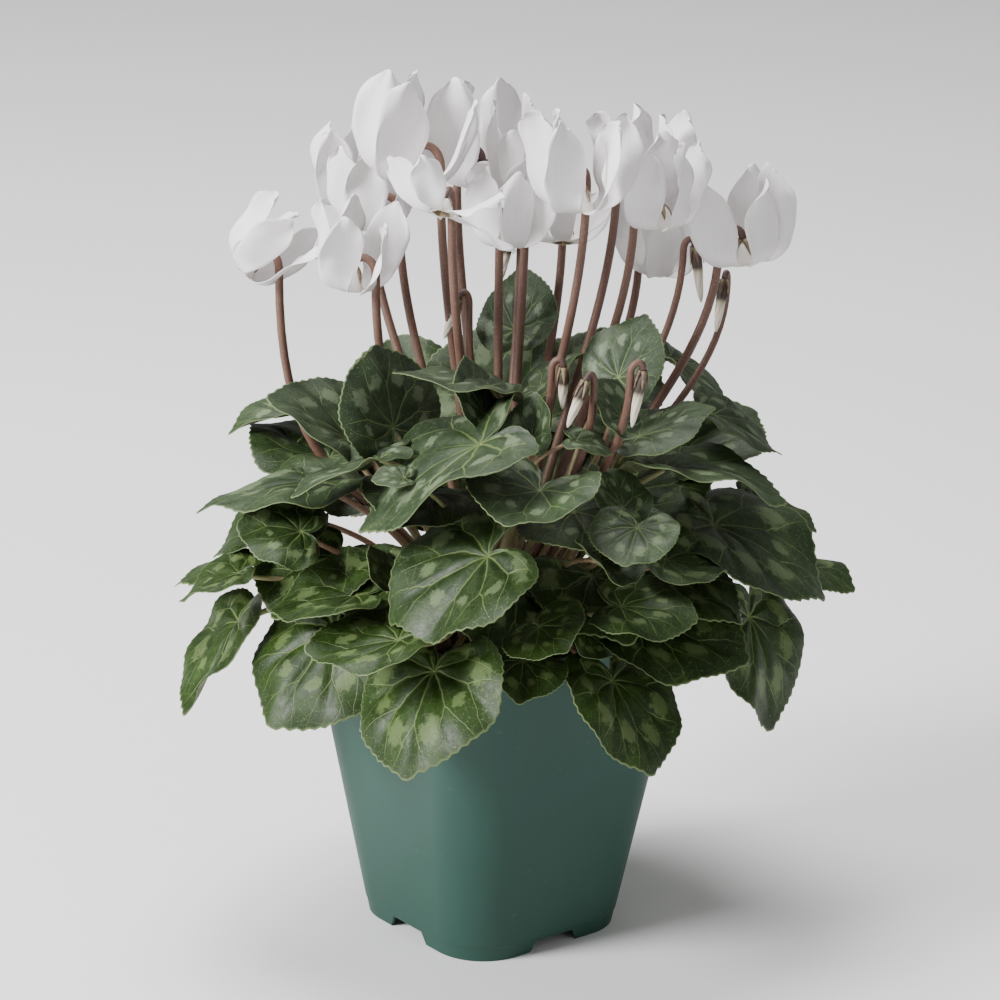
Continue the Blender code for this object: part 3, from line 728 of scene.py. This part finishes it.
def vein_pattern(tree):
    """Sockets for a blade: how much is vein, how far inside a blotch, the place and its reach."""
    blade = put(tree, "Attribute", {"attribute_name": "blade"}).outputs["Vector"]
    share = put(tree, "Attribute", {"attribute_name": "share"}).outputs["Fac"]
    jitter = put(tree, "TexNoise", Vector=blade, Scale=5.0, Detail=3.0).outputs["Color"]
    shift = put(tree, "VectorMath", {"operation": "MULTIPLY_ADD"})
    tree.links.new(jitter, shift.inputs[0])
    shift.inputs[1].default_value = (0.07, 0.07, 0.0)
    shift.inputs[2].default_value = (-0.035, -0.035, 0.0)
    moved = put(tree, "VectorMath", {"operation": "ADD"})
    tree.links.new(blade, moved.inputs[0])
    tree.links.new(shift.outputs[0], moved.inputs[1])
    apart = put(tree, "SeparateXYZ", Vector=moved.outputs[0])
    x, y = apart.outputs["X"], apart.outputs["Y"]
    reach = calc(tree, "SQRT", calc(tree, "ADD", calc(tree, "MULTIPLY", x, x), calc(tree, "MULTIPLY", y, y)))
    angle = calc(tree, "ARCTAN2", y, x)
    arch = calc(tree, "MULTIPLY", calc(tree, "MULTIPLY", calc(tree, "SINE", angle), reach), VEIN_ARCH)
    turned = calc(tree, "DIVIDE", calc(tree, "ADD", angle, arch), VEIN_SPACING)
    between = calc(tree, "FRACT", calc(tree, "ADD", turned, 10.5))
    wave = calc(tree, "ABSOLUTE", calc(tree, "SUBTRACT", between, 0.5))
    seed = put(tree, "SeparateXYZ", Vector=blade).outputs["Z"]
    sector = put(tree, "CombineXYZ", X=calc(tree, "FLOOR", turned), Y=seed)
    chance = put(tree, "TexWhiteNoise", {"noise_dimensions": "2D"}, Vector=sector.outputs[0]).outputs["Value"]
    gap = calc(tree, "MULTIPLY", calc(tree, "MULTIPLY", wave, VEIN_SPACING), reach)
    past_fork = calc(tree, "MAXIMUM", calc(tree, "SUBTRACT", share, FORK_FROM), 0.0)
    spread = calc(tree, "MULTIPLY", past_fork, FORK_SPREAD)
    off_line = calc(tree, "ABSOLUTE", calc(tree, "SUBTRACT", gap, spread))
    width = fade(tree, share, 0.0, 1.0, 0.014, 0.005)
    main = fade(tree, calc(tree, "DIVIDE", off_line, width), 0.35, 1.1, 1.0, 0.0)
    main = calc(tree, "MULTIPLY", main, fade(tree, share, 0.80, 0.97, 1.0, 0.35))
    net = put(tree, "TexVoronoi", {"feature": "DISTANCE_TO_EDGE"}, Vector=moved.outputs[0], Scale=9.0)
    fine = fade(tree, net.outputs["Distance"], 0.0, 0.05, 0.22, 0.0)
    veins = calc(tree, "MAXIMUM", main, fine)
    off_middle = calc(tree, "MULTIPLY", calc(tree, "SUBTRACT", 0.5, wave), VEIN_SPACING)
    aside = calc(tree, "MULTIPLY", off_middle, reach)
    outward = calc(tree, "SUBTRACT", share, calc(tree, "MULTIPLY_ADD", chance, 0.16, BLOTCH_REACH))
    off = calc(tree, "ADD", calc(tree, "MULTIPLY", aside, aside), calc(tree, "MULTIPLY", outward, outward))
    size = calc(tree, "MULTIPLY_ADD", chance, 0.10, BLOTCH_SIZE)
    blotch = calc(tree, "SUBTRACT", 1.0, calc(tree, "DIVIDE", calc(tree, "SQRT", off), size))
    return veins, blotch, blade, share


def tone_and_light_of(tree):
    return put(tree, "Attribute", {"attribute_name": "tone_and_light"}).outputs["Fac"]


def blade_top_material():
    """Waxy dark green with silver clouds in a ring between the veins, pale specks and a pale toothed edge."""
    material, tree, shader = material_tree("leaf_upper_side")
    veins, blotch, blade, share = vein_pattern(tree)
    # This per-leaf value mixes each leaf's own tone with painted shade on the low ranks and a painted sheen
    # on the upper ones.
    tone_and_light = tone_and_light_of(tree)
    soft = put(tree, "TexNoise", Vector=blade, Scale=4.0, Detail=4.0, Roughness=0.6).outputs["Fac"]
    green = blend(tree, tone_and_light, LOW_GREEN, HIGH_GREEN)
    dark = blend(tree, tone_and_light, LOW_DARK, HIGH_DARK)
    colour = blend(tree, fade(tree, soft, 0.38, 0.66), dark, green)

    cloud = put(tree, "TexNoise", Vector=blade, Scale=13.0, Detail=6.0, Roughness=0.68).outputs["Fac"]
    patch = fade(tree, calc(tree, "ADD", blotch, calc(tree, "MULTIPLY", cloud, 2.6)), 1.30, 1.75)
    silver = blend(tree, tone_and_light, LOW_SILVER, HIGH_SILVER)
    colour = blend(tree, calc(tree, "MULTIPLY", patch, 0.62), colour, silver)
    specks = put(tree, "TexNoise", Vector=blade, Scale=62.0, Detail=2.0).outputs["Fac"]
    speckled = calc(tree, "MULTIPLY", fade(tree, specks, 0.63, 0.72), fade(tree, share, 0.5, 0.9, 0.25, 0.8))
    colour = blend(tree, speckled, colour, silver)
    colour = blend(tree, calc(tree, "MULTIPLY", veins, 0.55), colour, VEIN_PALE)
    colour = blend(tree, fade(tree, share, 0.975, 1.0, 0.0, 0.75), colour, MARGIN_PALE)
    tree.links.new(colour, shader.inputs["Base Color"])

    tree.links.new(fade(tree, cloud, 0.3, 0.7, 0.40, 0.56), shader.inputs["Roughness"])
    shader.inputs["Specular IOR Level"].default_value = 0.32
    pores = put(tree, "TexNoise", Vector=blade, Scale=130.0, Detail=3.0).outputs["Fac"]
    height = calc(tree, "SUBTRACT", calc(tree, "MULTIPLY", pores, 0.25), calc(tree, "MULTIPLY", veins, 0.8))
    bump = put(tree, "Bump", Strength=0.45, Distance=0.0004, Height=height)
    tree.links.new(bump.outputs["Normal"], shader.inputs["Normal"])
    return material


def blade_under_material():
    """Matt pale olive, with the veins standing out."""
    material, tree, shader = material_tree("leaf_underside")
    veins, _, blade, _ = vein_pattern(tree)
    soft = put(tree, "TexNoise", Vector=blade, Scale=7.0, Detail=4.0).outputs["Fac"]
    colour = blend(tree, fade(tree, soft, 0.35, 0.7), [c * 0.75 for c in UNDERSIDE], UNDERSIDE)
    colour = blend(tree, calc(tree, "MULTIPLY", veins, 0.6), colour, VEIN_UNDER)
    tree.links.new(colour, shader.inputs["Base Color"])
    shader.inputs["Roughness"].default_value = 0.62
    bump = put(tree, "Bump", Strength=0.6, Distance=0.0006, Height=veins)
    tree.links.new(bump.outputs["Normal"], shader.inputs["Normal"])
    return material


def stalk_material():
    """Fleshy pale green, flushed pink in places."""
    material, tree, shader = material_tree("leaf_stalk")
    place = put(tree, "TexCoord").outputs["Object"]
    flush = put(tree, "TexNoise", Vector=place, Scale=24.0, Detail=3.0).outputs["Fac"]
    colour = blend(tree, fade(tree, flush, 0.36, 0.66), STALK_GREEN, STALK_PINK)
    hairs = put(tree, "TexNoise", Vector=place, Scale=900.0, Detail=2.0).outputs["Fac"]
    colour = blend(tree, fade(tree, hairs, 0.5, 0.8, 0.0, 0.4), colour, STALK_HAIR)
    tree.links.new(colour, shader.inputs["Base Color"])
    shader.inputs["Roughness"].default_value = 0.5
    bump = put(tree, "Bump", Strength=0.3, Distance=0.0003, Height=hairs)
    tree.links.new(bump.outputs["Normal"], shader.inputs["Normal"])
    return material


def grow_leaf(name, leaf, number, materials):
    draw = random.Random(100 + number)
    bm = bmesh.new()
    bm.verts.layers.float_vector.new("blade")
    bm.verts.layers.float.new("share")
    tone_and_light_layer = bm.verts.layers.float.new("tone_and_light")
    seed = 1.7 * number
    joint = add_blade(bm, leaf, seed, draw)
    add_stalk(bm, leaf, joint)
    # Painted light by height: low leaves get painted shade, high ones a painted sheen, with a random share of
    # their own tone.
    tone_and_light = min(1, max(0, (leaf.z - 145) / 70 + draw.uniform(-0.15, 0.15)))
    for vert in bm.verts:
        vert[tone_and_light_layer] = tone_and_light
    obj = put_object(name, mesh_of(name, bm), materials)
    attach(obj, "root")
    return obj


def grow_leaves():
    materials = [blade_top_material(), blade_under_material(), stalk_material()]
    outer_leaves = FRONT_LEAVES + BACK_LEAVES
    for i, leaf in enumerate(outer_leaves, 1):
        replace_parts(grow_leaf(f"marbled_leaf_{i:02d}", leaf, i, materials), f"leaf_{i:02d}")
    for i, leaf in enumerate(YOUNG_LEAVES + INNER_LEAVES, 1):
        grow_leaf(f"inner_leaf_{i:02d}", leaf, len(outer_leaves) + i, materials)


grow_leaves()


# Flowers
# Each is one grown piece: a red-brown stem that hooks over at the top, a small calyx, a short round tube
# that hangs mouth down, and five broad white petals twisted and swept straight back from the mouth.
# The table gives where each mouth is, the way that the flower faces, how far it is tipped that way from
# straight down, its size, how far its petals are swept back, how much of its stem is upright, and how much
# further back the petals on one side are swept than those on the other.

Flower = namedtuple("Flower", "x y z facing tip size sweep upright uneven", defaults=(0.33, 0))
FLOWERS = (
    Flower(-99, 4, 262, 185, 55, 0.78, 172, 0.7),
    Flower(-58, -17, 261, 180, 12, 0.85, 172, 0.5),
    Flower(-62, 66, 272, 170, 5, 0.80, 178),
    Flower(-49, 37, 270, 190, 0, 0.85, 178),
    Flower(-38, 8, 296, 185, 18, 1.05, 174),
    Flower(-9, 55, 283, 350, 0, 1.00, 178),
    Flower(-23, -38, 296, 250, 35, 0.64, 118, 0.33, 46),
    Flower(1, 5, 273, 290, 0, 0.82, 180),
    Flower(15, 30, 283, 330, 0, 0.78, 180),
    Flower(27, -24, 295, 250, 3, 0.95, 174),
    Flower(23, 58, 260, 270, 25, 0.75, 155),
    Flower(51, 33, 285, 20, 0, 0.88, 178),
    Flower(58, 0, 283, 10, 3, 0.88, 178),
    Flower(61, 56, 249, 340, 0, 0.85, 178),
    Flower(93, 14, 266, 0, 12, 0.92, 172),
)
STEM_RADIUS, STEM_SIDES = 1.7, 12
STEM_STEPS, HOOK_STEPS = 24, 12
HOOK_ACROSS, HOOK_RISE = 10.0, 8.0
TUBE_HEIGHT, MOUTH_RADIUS = 8.0, 6.4
PETAL_LENGTH, PETAL_HALF_WIDTH, PETAL_SPREAD = 42.5, 9.9, 66
PETAL_BASE_HALF, PETAL_BROADEST = 3.9, 0.60
PETAL_THICK = 0.45
PETAL_ROWS, PETAL_ACROSS = 26, 6
PETAL_WHITE = (0.86, 0.83, 0.835)
# Petal line colour, then painted shade for the petals' lower halves, then their own greenish foot.
PETAL_LINE, PETAL_PAINTED_SHADE, PETAL_FOOT = (0.78, 0.745, 0.755), (0.70, 0.655, 0.66), (0.58, 0.55, 0.45)


def nod_frame(facing, tip):
    """A nodding head's axes: out of its mouth, towards its stem, and square to both."""
    f, t = math.radians(facing), math.radians(tip)
    forward = Vector((math.cos(f), math.sin(f), 0))
    mouth = forward * math.sin(t) - UP * math.cos(t)
    back = (mouth * forward.dot(mouth) - forward).normalized()
    return mouth, back, mouth.cross(back)


def stem_path(foot, base, mouth, back, across, rise_by, upright=0.33):
    """Up from the tuber, then over a hook and down into the head's base along mouth."""
    level_back = Vector((back.x, back.y, 0)).normalized()
    lean = -mouth.dot(level_back) / (1 - mouth.z)
    shoulder = base + level_back * across - UP * (across * lean + rise_by * 0.3)
    near_foot, near_shoulder = rise(foot, shoulder, UP, upright)
    stem = bezier(foot, near_foot, near_shoulder, shoulder, STEM_STEPS)
    hook = bezier(shoulder, shoulder + UP * rise_by, base - mouth * rise_by, base, HOOK_STEPS)
    return stem + hook[1:]


def petal_half_width(share):
    """Narrow where it leaves the mouth, broadest past the middle, and round at the end."""
    if share > PETAL_BROADEST:
        past = (share - PETAL_BROADEST) / (1.03 - PETAL_BROADEST)
        return PETAL_HALF_WIDTH * (1 - past**2.1) ** 0.60
    grown = share / PETAL_BROADEST
    return PETAL_BASE_HALF + (PETAL_HALF_WIDTH - PETAL_BASE_HALF) * math.sin(math.pi / 2 * grown**1.15)


def petal_turn(share, sweep_back, curl):
    """The angle between the petal and the mouth's axis: it bends back at once, and its end curls a little."""
    return math.radians(95 + (sweep_back - 95) * min(1.0, share / 0.3) + curl * max(0, share - 0.55) ** 1.5)


def add_petal(bm, flower, nod, centre, angle, draw, index):
    """One petal: both its faces, joined round the edge."""
    mark = bm.verts.layers.float_vector["petal"]
    mouth, back, square = nod
    angle += draw.uniform(-6, 6)
    a = math.radians(angle)
    outward = back * math.cos(a) + square * math.sin(a)
    across = square * math.cos(a) - back * math.sin(a)
    scale = flower.size * MM
    length = PETAL_LENGTH * draw.uniform(0.95, 1.05)
    sweep_back = flower.sweep + flower.uneven * (angle - 180) / (2 * PETAL_SPREAD) + draw.uniform(-5, 5)
    curl = draw.uniform(-50, 70)
    twist_by = draw.uniform(25, 75)
    cup_by = draw.uniform(-0.10, 0.20)
    sway = draw.uniform(-5, 5)
    ruffle_phase, seed = draw.uniform(0, math.tau), draw.uniform(0, 90)

    def spine(share):
        out, up, steps = 0.0, 0.0, 12
        for i in range(steps):
            turn = petal_turn(share * (i + 0.5) / steps, sweep_back, curl)
            out += math.sin(turn) * share / steps
            up -= math.cos(turn) * share / steps
        return out, up

    def point(i, j, side):
        u = j / PETAL_ACROSS
        share = i / PETAL_ROWS
        at = share * (1 - 0.07 * u * u * share**3)
        out, up = spine(at)
        turn = petal_turn(at, sweep_back, curl)
        grow = mouth * math.cos(turn) + outward * math.sin(turn)
        normal = grow.cross(across)
        twist = math.radians(twist_by * (0.5 * min(1.0, share * 2.5) + 0.5 * share))
        edge = across * math.cos(twist) + normal * math.sin(twist)
        stand = normal * math.cos(twist) - across * math.sin(twist)
        frill = noise.noise(Vector((share * 3.5, 3 * math.copysign(1, u), seed + 5)))
        width = petal_half_width(share) * (1 + 0.22 * share * frill)
        cup = cup_by * width * (u * u - 0.25) * (1 - 1.5 * share * share)
        ruffle = 2.0 * share * u * u * math.sin(math.tau * (1.5 * share + 0.25 * u) + ruffle_phase + 2 * u)
        ruffle += 5.0 * share * noise.noise(Vector((share * 1.9, u * 0.9, seed)))
        middle = outward * (MOUTH_RADIUS + out * length) - mouth * up * length + across * sway * share * share
        off = (cup + ruffle) + side * PETAL_THICK / flower.size / 2 * (1 - 0.5 * u * u)
        vert = bm.verts.new(centre + (middle + edge * u * width + stand * off) * scale)
        vert[mark] = (share, u, seed)
        return vert

    rows = {}
    for side in (-1, 1):
        rows[side] = [
            [point(i, j, side) for j in range(-PETAL_ACROSS, PETAL_ACROSS + 1)] for i in range(PETAL_ROWS + 1)
        ]
        for low, high in zip(rows[side], rows[side][1:]):
            bridge(bm, low, high, index, closed=False)
    rims = []
    for side in (-1, 1):
        grid = rows[side]
        rim = [row[0] for row in grid] + grid[-1][1:-1] + [row[-1] for row in reversed(grid)]
        rims.append(rim + grid[0][-2:0:-1])
    bridge(bm, *rims, index)


def head_ring(bm, centre, nod, radius, height, sides, lobes=0.0):
    """A ring round the flower's axis, height back from its mouth, with five shallow lobes."""
    mouth, back, square = nod
    points = []
    for k in range(sides):
        a = math.tau * k / sides
        outward = back * math.cos(a) + square * math.sin(a)
        points.append(centre + outward * radius * (1 + lobes * math.cos(5 * (a - math.pi))) - mouth * height)
    return ring_of(bm, points)


def add_head(bm, flower, nod, centre):
    """The tube with its lip, the throat painted near-black with shade deep inside, and the cone of stamens
    round the style.
    """
    scale = flower.size * MM
    sides = 40
    outside = [(2.3, 8.8, 0), (3.4, 8.4, 0), (4.6, 6.6, 0)]
    outside += [(5.3, 4.2, 0.02), (5.9, 2.0, 0.04), (6.5, 0.7, 0.07)]
    lip = [(6.6, 0.0, 0.09), (6.2, -0.5, 0.10), (5.4, -0.5, 0.10), (4.7, 0.0, 0.08)]
    throat = [(4.1, 1.4, 0.05), (3.9, 3.6, 0.02), (3.2, 5.2, 0), (1.2, 5.8, 0)]
    rings = []
    for radius, height, lobes in outside + lip + throat:
        rings.append(head_ring(bm, centre, nod, radius * scale, height * scale, sides, lobes))
    for i, (lower, upper) in enumerate(zip(rings, rings[1:])):
        # Bands past the lip: index 2 is the throat ring, index 3 the painted shade deep in the throat.
        inner = i - len(outside) - len(lip) + 2
        bridge(bm, lower, upper, 0 if inner < 0 else (2 if inner < 3 else 3))
    fan(bm, rings[0], 0)
    fan(bm, rings[-1], 3)
    cone = [(2.6, 5.6), (2.4, 3.6), (1.6, 1.8), (0.6, 0.9), (0.45, -1.2), (0.55, -1.6), (0.2, -1.8)]
    rings = [head_ring(bm, centre, nod, r * scale, h * scale, 10) for r, h in cone]
    for lower, upper in zip(rings, rings[1:]):
        bridge(bm, lower, upper, 4)
    fan(bm, rings[0], 4)
    fan(bm, rings[-1], 4)


def add_sepals(bm, base, nod, scale, length, girth, index):
    """Five small pointed sepals pressed against the head's base."""
    mouth, back, square = nod
    for p in range(5):
        a = math.tau * (p + 0.5) / 5
        outward = back * math.cos(a) + square * math.sin(a)
        across = square * math.cos(a) - back * math.sin(a)
        rings = []
        for i in range(6):
            s = i / 5
            place = base + (outward * (2.1 + girth * math.sin(s * 1.7)) + mouth * (s * length - 0.6)) * scale
            half = max(1.7 * (1 - s) ** 0.7, 0.12)
            corners = ((-half, 0), (0, 0.35), (half, 0), (0, -0.15))
            rings.append(ring_of(bm, [place + (across * x + outward * y) * scale for x, y in corners]))
        for lower, upper in zip(rings, rings[1:]):
            bridge(bm, lower, upper, index)
        fan(bm, rings[0], index)
        fan(bm, rings[-1], index)


def petal_material():
    """Matt white with the faint lengthwise lines of its veins, greyer towards the base with painted shade,
    and greenish right at its foot.
    """
    material, tree, shader = material_tree("petal_white_matt")
    petal = put(tree, "Attribute", {"attribute_name": "petal"}).outputs["Vector"]
    stretch = put(tree, "VectorMath", {"operation": "MULTIPLY"})
    tree.links.new(petal, stretch.inputs[0])
    stretch.inputs[1].default_value = (2.2, 16.0, 1.0)
    streaks = put(tree, "TexNoise", Vector=stretch.outputs[0], Scale=1.6, Detail=5.0, Roughness=0.6)
    lines = streaks.outputs["Fac"]
    along = put(tree, "SeparateXYZ", Vector=petal).outputs["X"]
    white = blend(tree, fade(tree, lines, 0.40, 0.66, 0.0, 0.55), PETAL_WHITE, PETAL_LINE)
    # Painted shade: the petal greys over its lower half towards the mouth.
    white = blend(tree, fade(tree, along, 0.55, 0.05, 0.0, 0.5), white, PETAL_PAINTED_SHADE)
    white = blend(tree, fade(tree, along, 0.16, 0.0, 0.0, 0.5), white, PETAL_FOOT)
    tree.links.new(white, shader.inputs["Base Color"])
    shader.inputs["Roughness"].default_value = 0.6
    shader.inputs["Specular IOR Level"].default_value = 0.3
    shader.inputs["Sheen Weight"].default_value = 0.15
    shader.inputs["Sheen Roughness"].default_value = 0.5
    bump = put(tree, "Bump", Strength=0.35, Distance=0.0005, Height=lines)
    tree.links.new(bump.outputs["Normal"], shader.inputs["Normal"])
    return material


def stem_material():
    """Red-brown and finely hairy, darker and more purple in the hook, greener low down."""
    material, tree, shader = material_tree("flower_stem")
    place = put(tree, "TexCoord").outputs["Object"]
    height = put(tree, "Attribute", {"attribute_name": "up_stem"}).outputs["Fac"]
    mottle = put(tree, "TexNoise", Vector=place, Scale=60.0, Detail=4.0).outputs["Fac"]
    hairs = put(tree, "TexNoise", Vector=place, Scale=1100.0, Detail=2.0).outputs["Fac"]
    colour = blend(tree, fade(tree, height, 0.0, 0.35), (0.11, 0.080, 0.040), (0.115, 0.054, 0.036))
    colour = blend(tree, fade(tree, height, 0.78, 0.95), colour, (0.045, 0.020, 0.018))
    colour = blend(tree, fade(tree, mottle, 0.4, 0.7, 0.0, 0.30), colour, (0.19, 0.105, 0.072))
    colour = blend(tree, fade(tree, hairs, 0.52, 0.78, 0.0, 0.28), colour, (0.32, 0.23, 0.18))
    tree.links.new(colour, shader.inputs["Base Color"])
    shader.inputs["Roughness"].default_value = 0.55
    bump = put(tree, "Bump", Strength=0.35, Distance=0.0003, Height=hairs)
    tree.links.new(bump.outputs["Normal"], shader.inputs["Normal"])
    return material


def plain_flesh(name, light, dark, scale, roughness):
    """Plant flesh mottled between two colours."""
    material, tree, shader = material_tree(name)
    place = put(tree, "TexCoord").outputs["Object"]
    mottle = put(tree, "TexNoise", Vector=place, Scale=scale, Detail=4.0).outputs["Fac"]
    tree.links.new(blend(tree, fade(tree, mottle, 0.38, 0.64), dark, light), shader.inputs["Base Color"])
    shader.inputs["Roughness"].default_value = roughness
    bump = put(tree, "Bump", Strength=0.4, Distance=0.0003, Height=mottle)
    tree.links.new(bump.outputs["Normal"], shader.inputs["Normal"])
    return material


def add_stem(bm, path, radius, back, index):
    """The stem's tube, a little thicker at the foot, marked with how far up it each place is."""
    up_stem = bm.verts.layers.float["up_stem"]
    count = len(path)
    radii = [radius * (1.12 - 0.24 * i / (count - 1)) * MM for i in range(count)]
    rings = tube(bm, path, radii, STEM_SIDES, back, index)
    for i, ring in enumerate(rings):
        for vert in ring:
            vert[up_stem] = i / (count - 1)
    fan(bm, rings[0], index)
    return rings[-1]


def open_flower(name, flower, number, materials):
    draw = random.Random(500 + number)
    bm = bmesh.new()
    bm.verts.layers.float_vector.new("petal")
    bm.verts.layers.float.new("up_stem")
    nod = nod_frame(flower.facing, flower.tip)
    mouth, back, _ = nod
    centre = AXIS + Vector((flower.x, flower.y, flower.z)) * MM
    scale = flower.size * MM
    base = centre - mouth * (TUBE_HEIGHT + 1.5) * scale
    hook = (HOOK_ACROSS * scale, HOOK_RISE * scale)
    path = stem_path(foot_of(flower), base, mouth, back, *hook, flower.upright)
    fan(bm, add_stem(bm, path, STEM_RADIUS, back, 1), 1)
    add_head(bm, flower, nod, centre)
    add_sepals(bm, base, nod, scale, 6.5, 3.6, 5)
    for p in range(5):
        add_petal(bm, flower, nod, centre, 180 + PETAL_SPREAD * (p - 2), draw, 0)
    obj = put_object(name, mesh_of(name, bm), materials)
    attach(obj, "root")
    return obj


stem_skin = stem_material()
sepal_skin = plain_flesh("sepal_skin", (0.20, 0.17, 0.08), (0.11, 0.055, 0.045), 300.0, 0.6)
petal_skin = petal_material()


def open_flowers():
    throat_ring = plain_flesh("throat_ring", (0.26, 0.22, 0.13), (0.14, 0.10, 0.06), 500.0, 0.6)
    # Painted shade: near-black inside the tube, where the throat lies in shadow.
    throat_painted_shade = plain_flesh("throat_painted_shade", (0.07, 0.05, 0.03), (0.03, 0.02, 0.015), 500.0, 0.7)
    stamens = plain_flesh("stamens", (0.42, 0.30, 0.10), (0.26, 0.15, 0.06), 700.0, 0.7)
    materials = [petal_skin, stem_skin, throat_ring, throat_painted_shade, stamens, sepal_skin]
    for i, flower in enumerate(FLOWERS, 1):
        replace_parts(open_flower(f"swept_flower_{i:02d}", flower, i, materials), f"flower_{i:02d}")


open_flowers()


# Buds
# Closed heads still hooked over on their stems: the petals are furled round each other in a slim cream
# spindle, held by five purple-brown sepals.

Bud = namedtuple("Bud", "x y z facing tip length")
BUDS = (
    Bud(73, 18, 270, 350, 8, 22),
    Bud(85, 28, 254, 250, 24, 20),
    Bud(23, -46, 240, 350, 0, 16),
    Bud(31, -57, 238, 222, 28, 18),
    Bud(52, -58, 243, 0, -9, 22),
)
# Two late buds, low among the flower stems.
LATE_BUDS = (
    Bud(-17, 8, 250, 200, 20, 16),
    Bud(2, 36, 268, 200, 10, 18),
)
BUD_RADIUS = 2.3
BUD_SIDES, BUD_STEPS = 30, 22
BUD_FURL = math.radians(150)
BUD_HOOK_ACROSS, BUD_HOOK_RISE = 4.5, 5.0
BUD_CREAM, BUD_SHADE, BUD_SEAM = (0.80, 0.75, 0.64), (0.66, 0.60, 0.48), (0.40, 0.30, 0.22)
BUD_GREEN, CALYX_BROWN = (0.36, 0.32, 0.19), (0.030, 0.014, 0.012)


def bud_material():
    """Cream with a green-grey base and brownish lines where the furled petals overlap."""
    material, tree, shader = material_tree("furled_petals")
    petal = put(tree, "Attribute", {"attribute_name": "petal"}).outputs["Vector"]
    apart = put(tree, "SeparateXYZ", Vector=petal)
    seam = calc(tree, "ABSOLUTE", apart.outputs["Y"])
    mottle = put(tree, "TexNoise", Vector=petal, Scale=9.0, Detail=4.0).outputs["Fac"]
    colour = blend(tree, fade(tree, mottle, 0.35, 0.7), BUD_SHADE, BUD_CREAM)
    colour = blend(tree, fade(tree, seam, 0.55, 1.0, 0.0, 0.7), colour, BUD_SEAM)
    down = apart.outputs["X"]
    colour = blend(tree, fade(tree, down, 0.60, 0.40, 0.0, 0.6), colour, BUD_GREEN)
    colour = blend(tree, fade(tree, down, 0.46, 0.34, 0.0, 0.95), colour, CALYX_BROWN)
    tree.links.new(colour, shader.inputs["Base Color"])
    shader.inputs["Roughness"].default_value = 0.55
    bump = put(tree, "Bump", Strength=0.4, Distance=0.0004, Height=mottle)
    tree.links.new(bump.outputs["Normal"], shader.inputs["Normal"])
    return material


def grow_bud(name, bud, number, materials):
    bm = bmesh.new()
    bm.verts.layers.float_vector.new("petal")
    bm.verts.layers.float.new("up_stem")
    mark = bm.verts.layers.float_vector["petal"]
    nod = nod_frame(bud.facing, bud.tip)
    mouth, back, square = nod
    base = AXIS + Vector((bud.x, bud.y, bud.z)) * MM
    path = stem_path(foot_of(bud), base, mouth, back, BUD_HOOK_ACROSS * MM, BUD_HOOK_RISE * MM)
    fan(bm, add_stem(bm, path, STEM_RADIUS * 0.85, back, 0), 0)
    rings = []
    for i in range(BUD_STEPS + 1):
        s = i / BUD_STEPS
        girth = BUD_RADIUS * min(1, 0.55 + 3.5 * s) * (1.1 - 0.55 * s) * (1 - s**6) ** 0.5
        girth = max(0.25, girth)
        ring = []
        for k in range(BUD_SIDES):
            a = math.tau * k / BUD_SIDES
            fold = math.fmod(5 * a / math.tau, 1.0) * 2 - 1
            turn = a + BUD_FURL * s
            outward = back * math.cos(turn) + square * math.sin(turn)
            reach = girth * (1 - 0.16 * abs(fold) ** 3)
            vert = bm.verts.new(base + (outward * reach + mouth * bud.length * s) * MM)
            vert[mark] = (s, fold, number)
            ring.append(vert)
        rings.append(ring)
    for lower, upper in zip(rings, rings[1:]):
        bridge(bm, lower, upper, 1)
    fan(bm, rings[0], 1)
    fan(bm, rings[-1], 1)
    add_sepals(bm, base, nod, 0.75 * MM, 9.5, 1.4, 2)
    obj = put_object(name, mesh_of(name, bm), materials)
    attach(obj, "root")
    return obj


def grow_buds():
    materials = [stem_skin, bud_material(), sepal_skin]
    for i, bud in enumerate(BUDS, 1):
        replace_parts(grow_bud(f"furled_bud_{i:02d}", bud, i, materials), f"bud_{i:02d}")
    for i, bud in enumerate(LATE_BUDS, 1):
        grow_bud(f"late_bud_{i:02d}", bud, len(BUDS) + i, materials)


grow_buds()
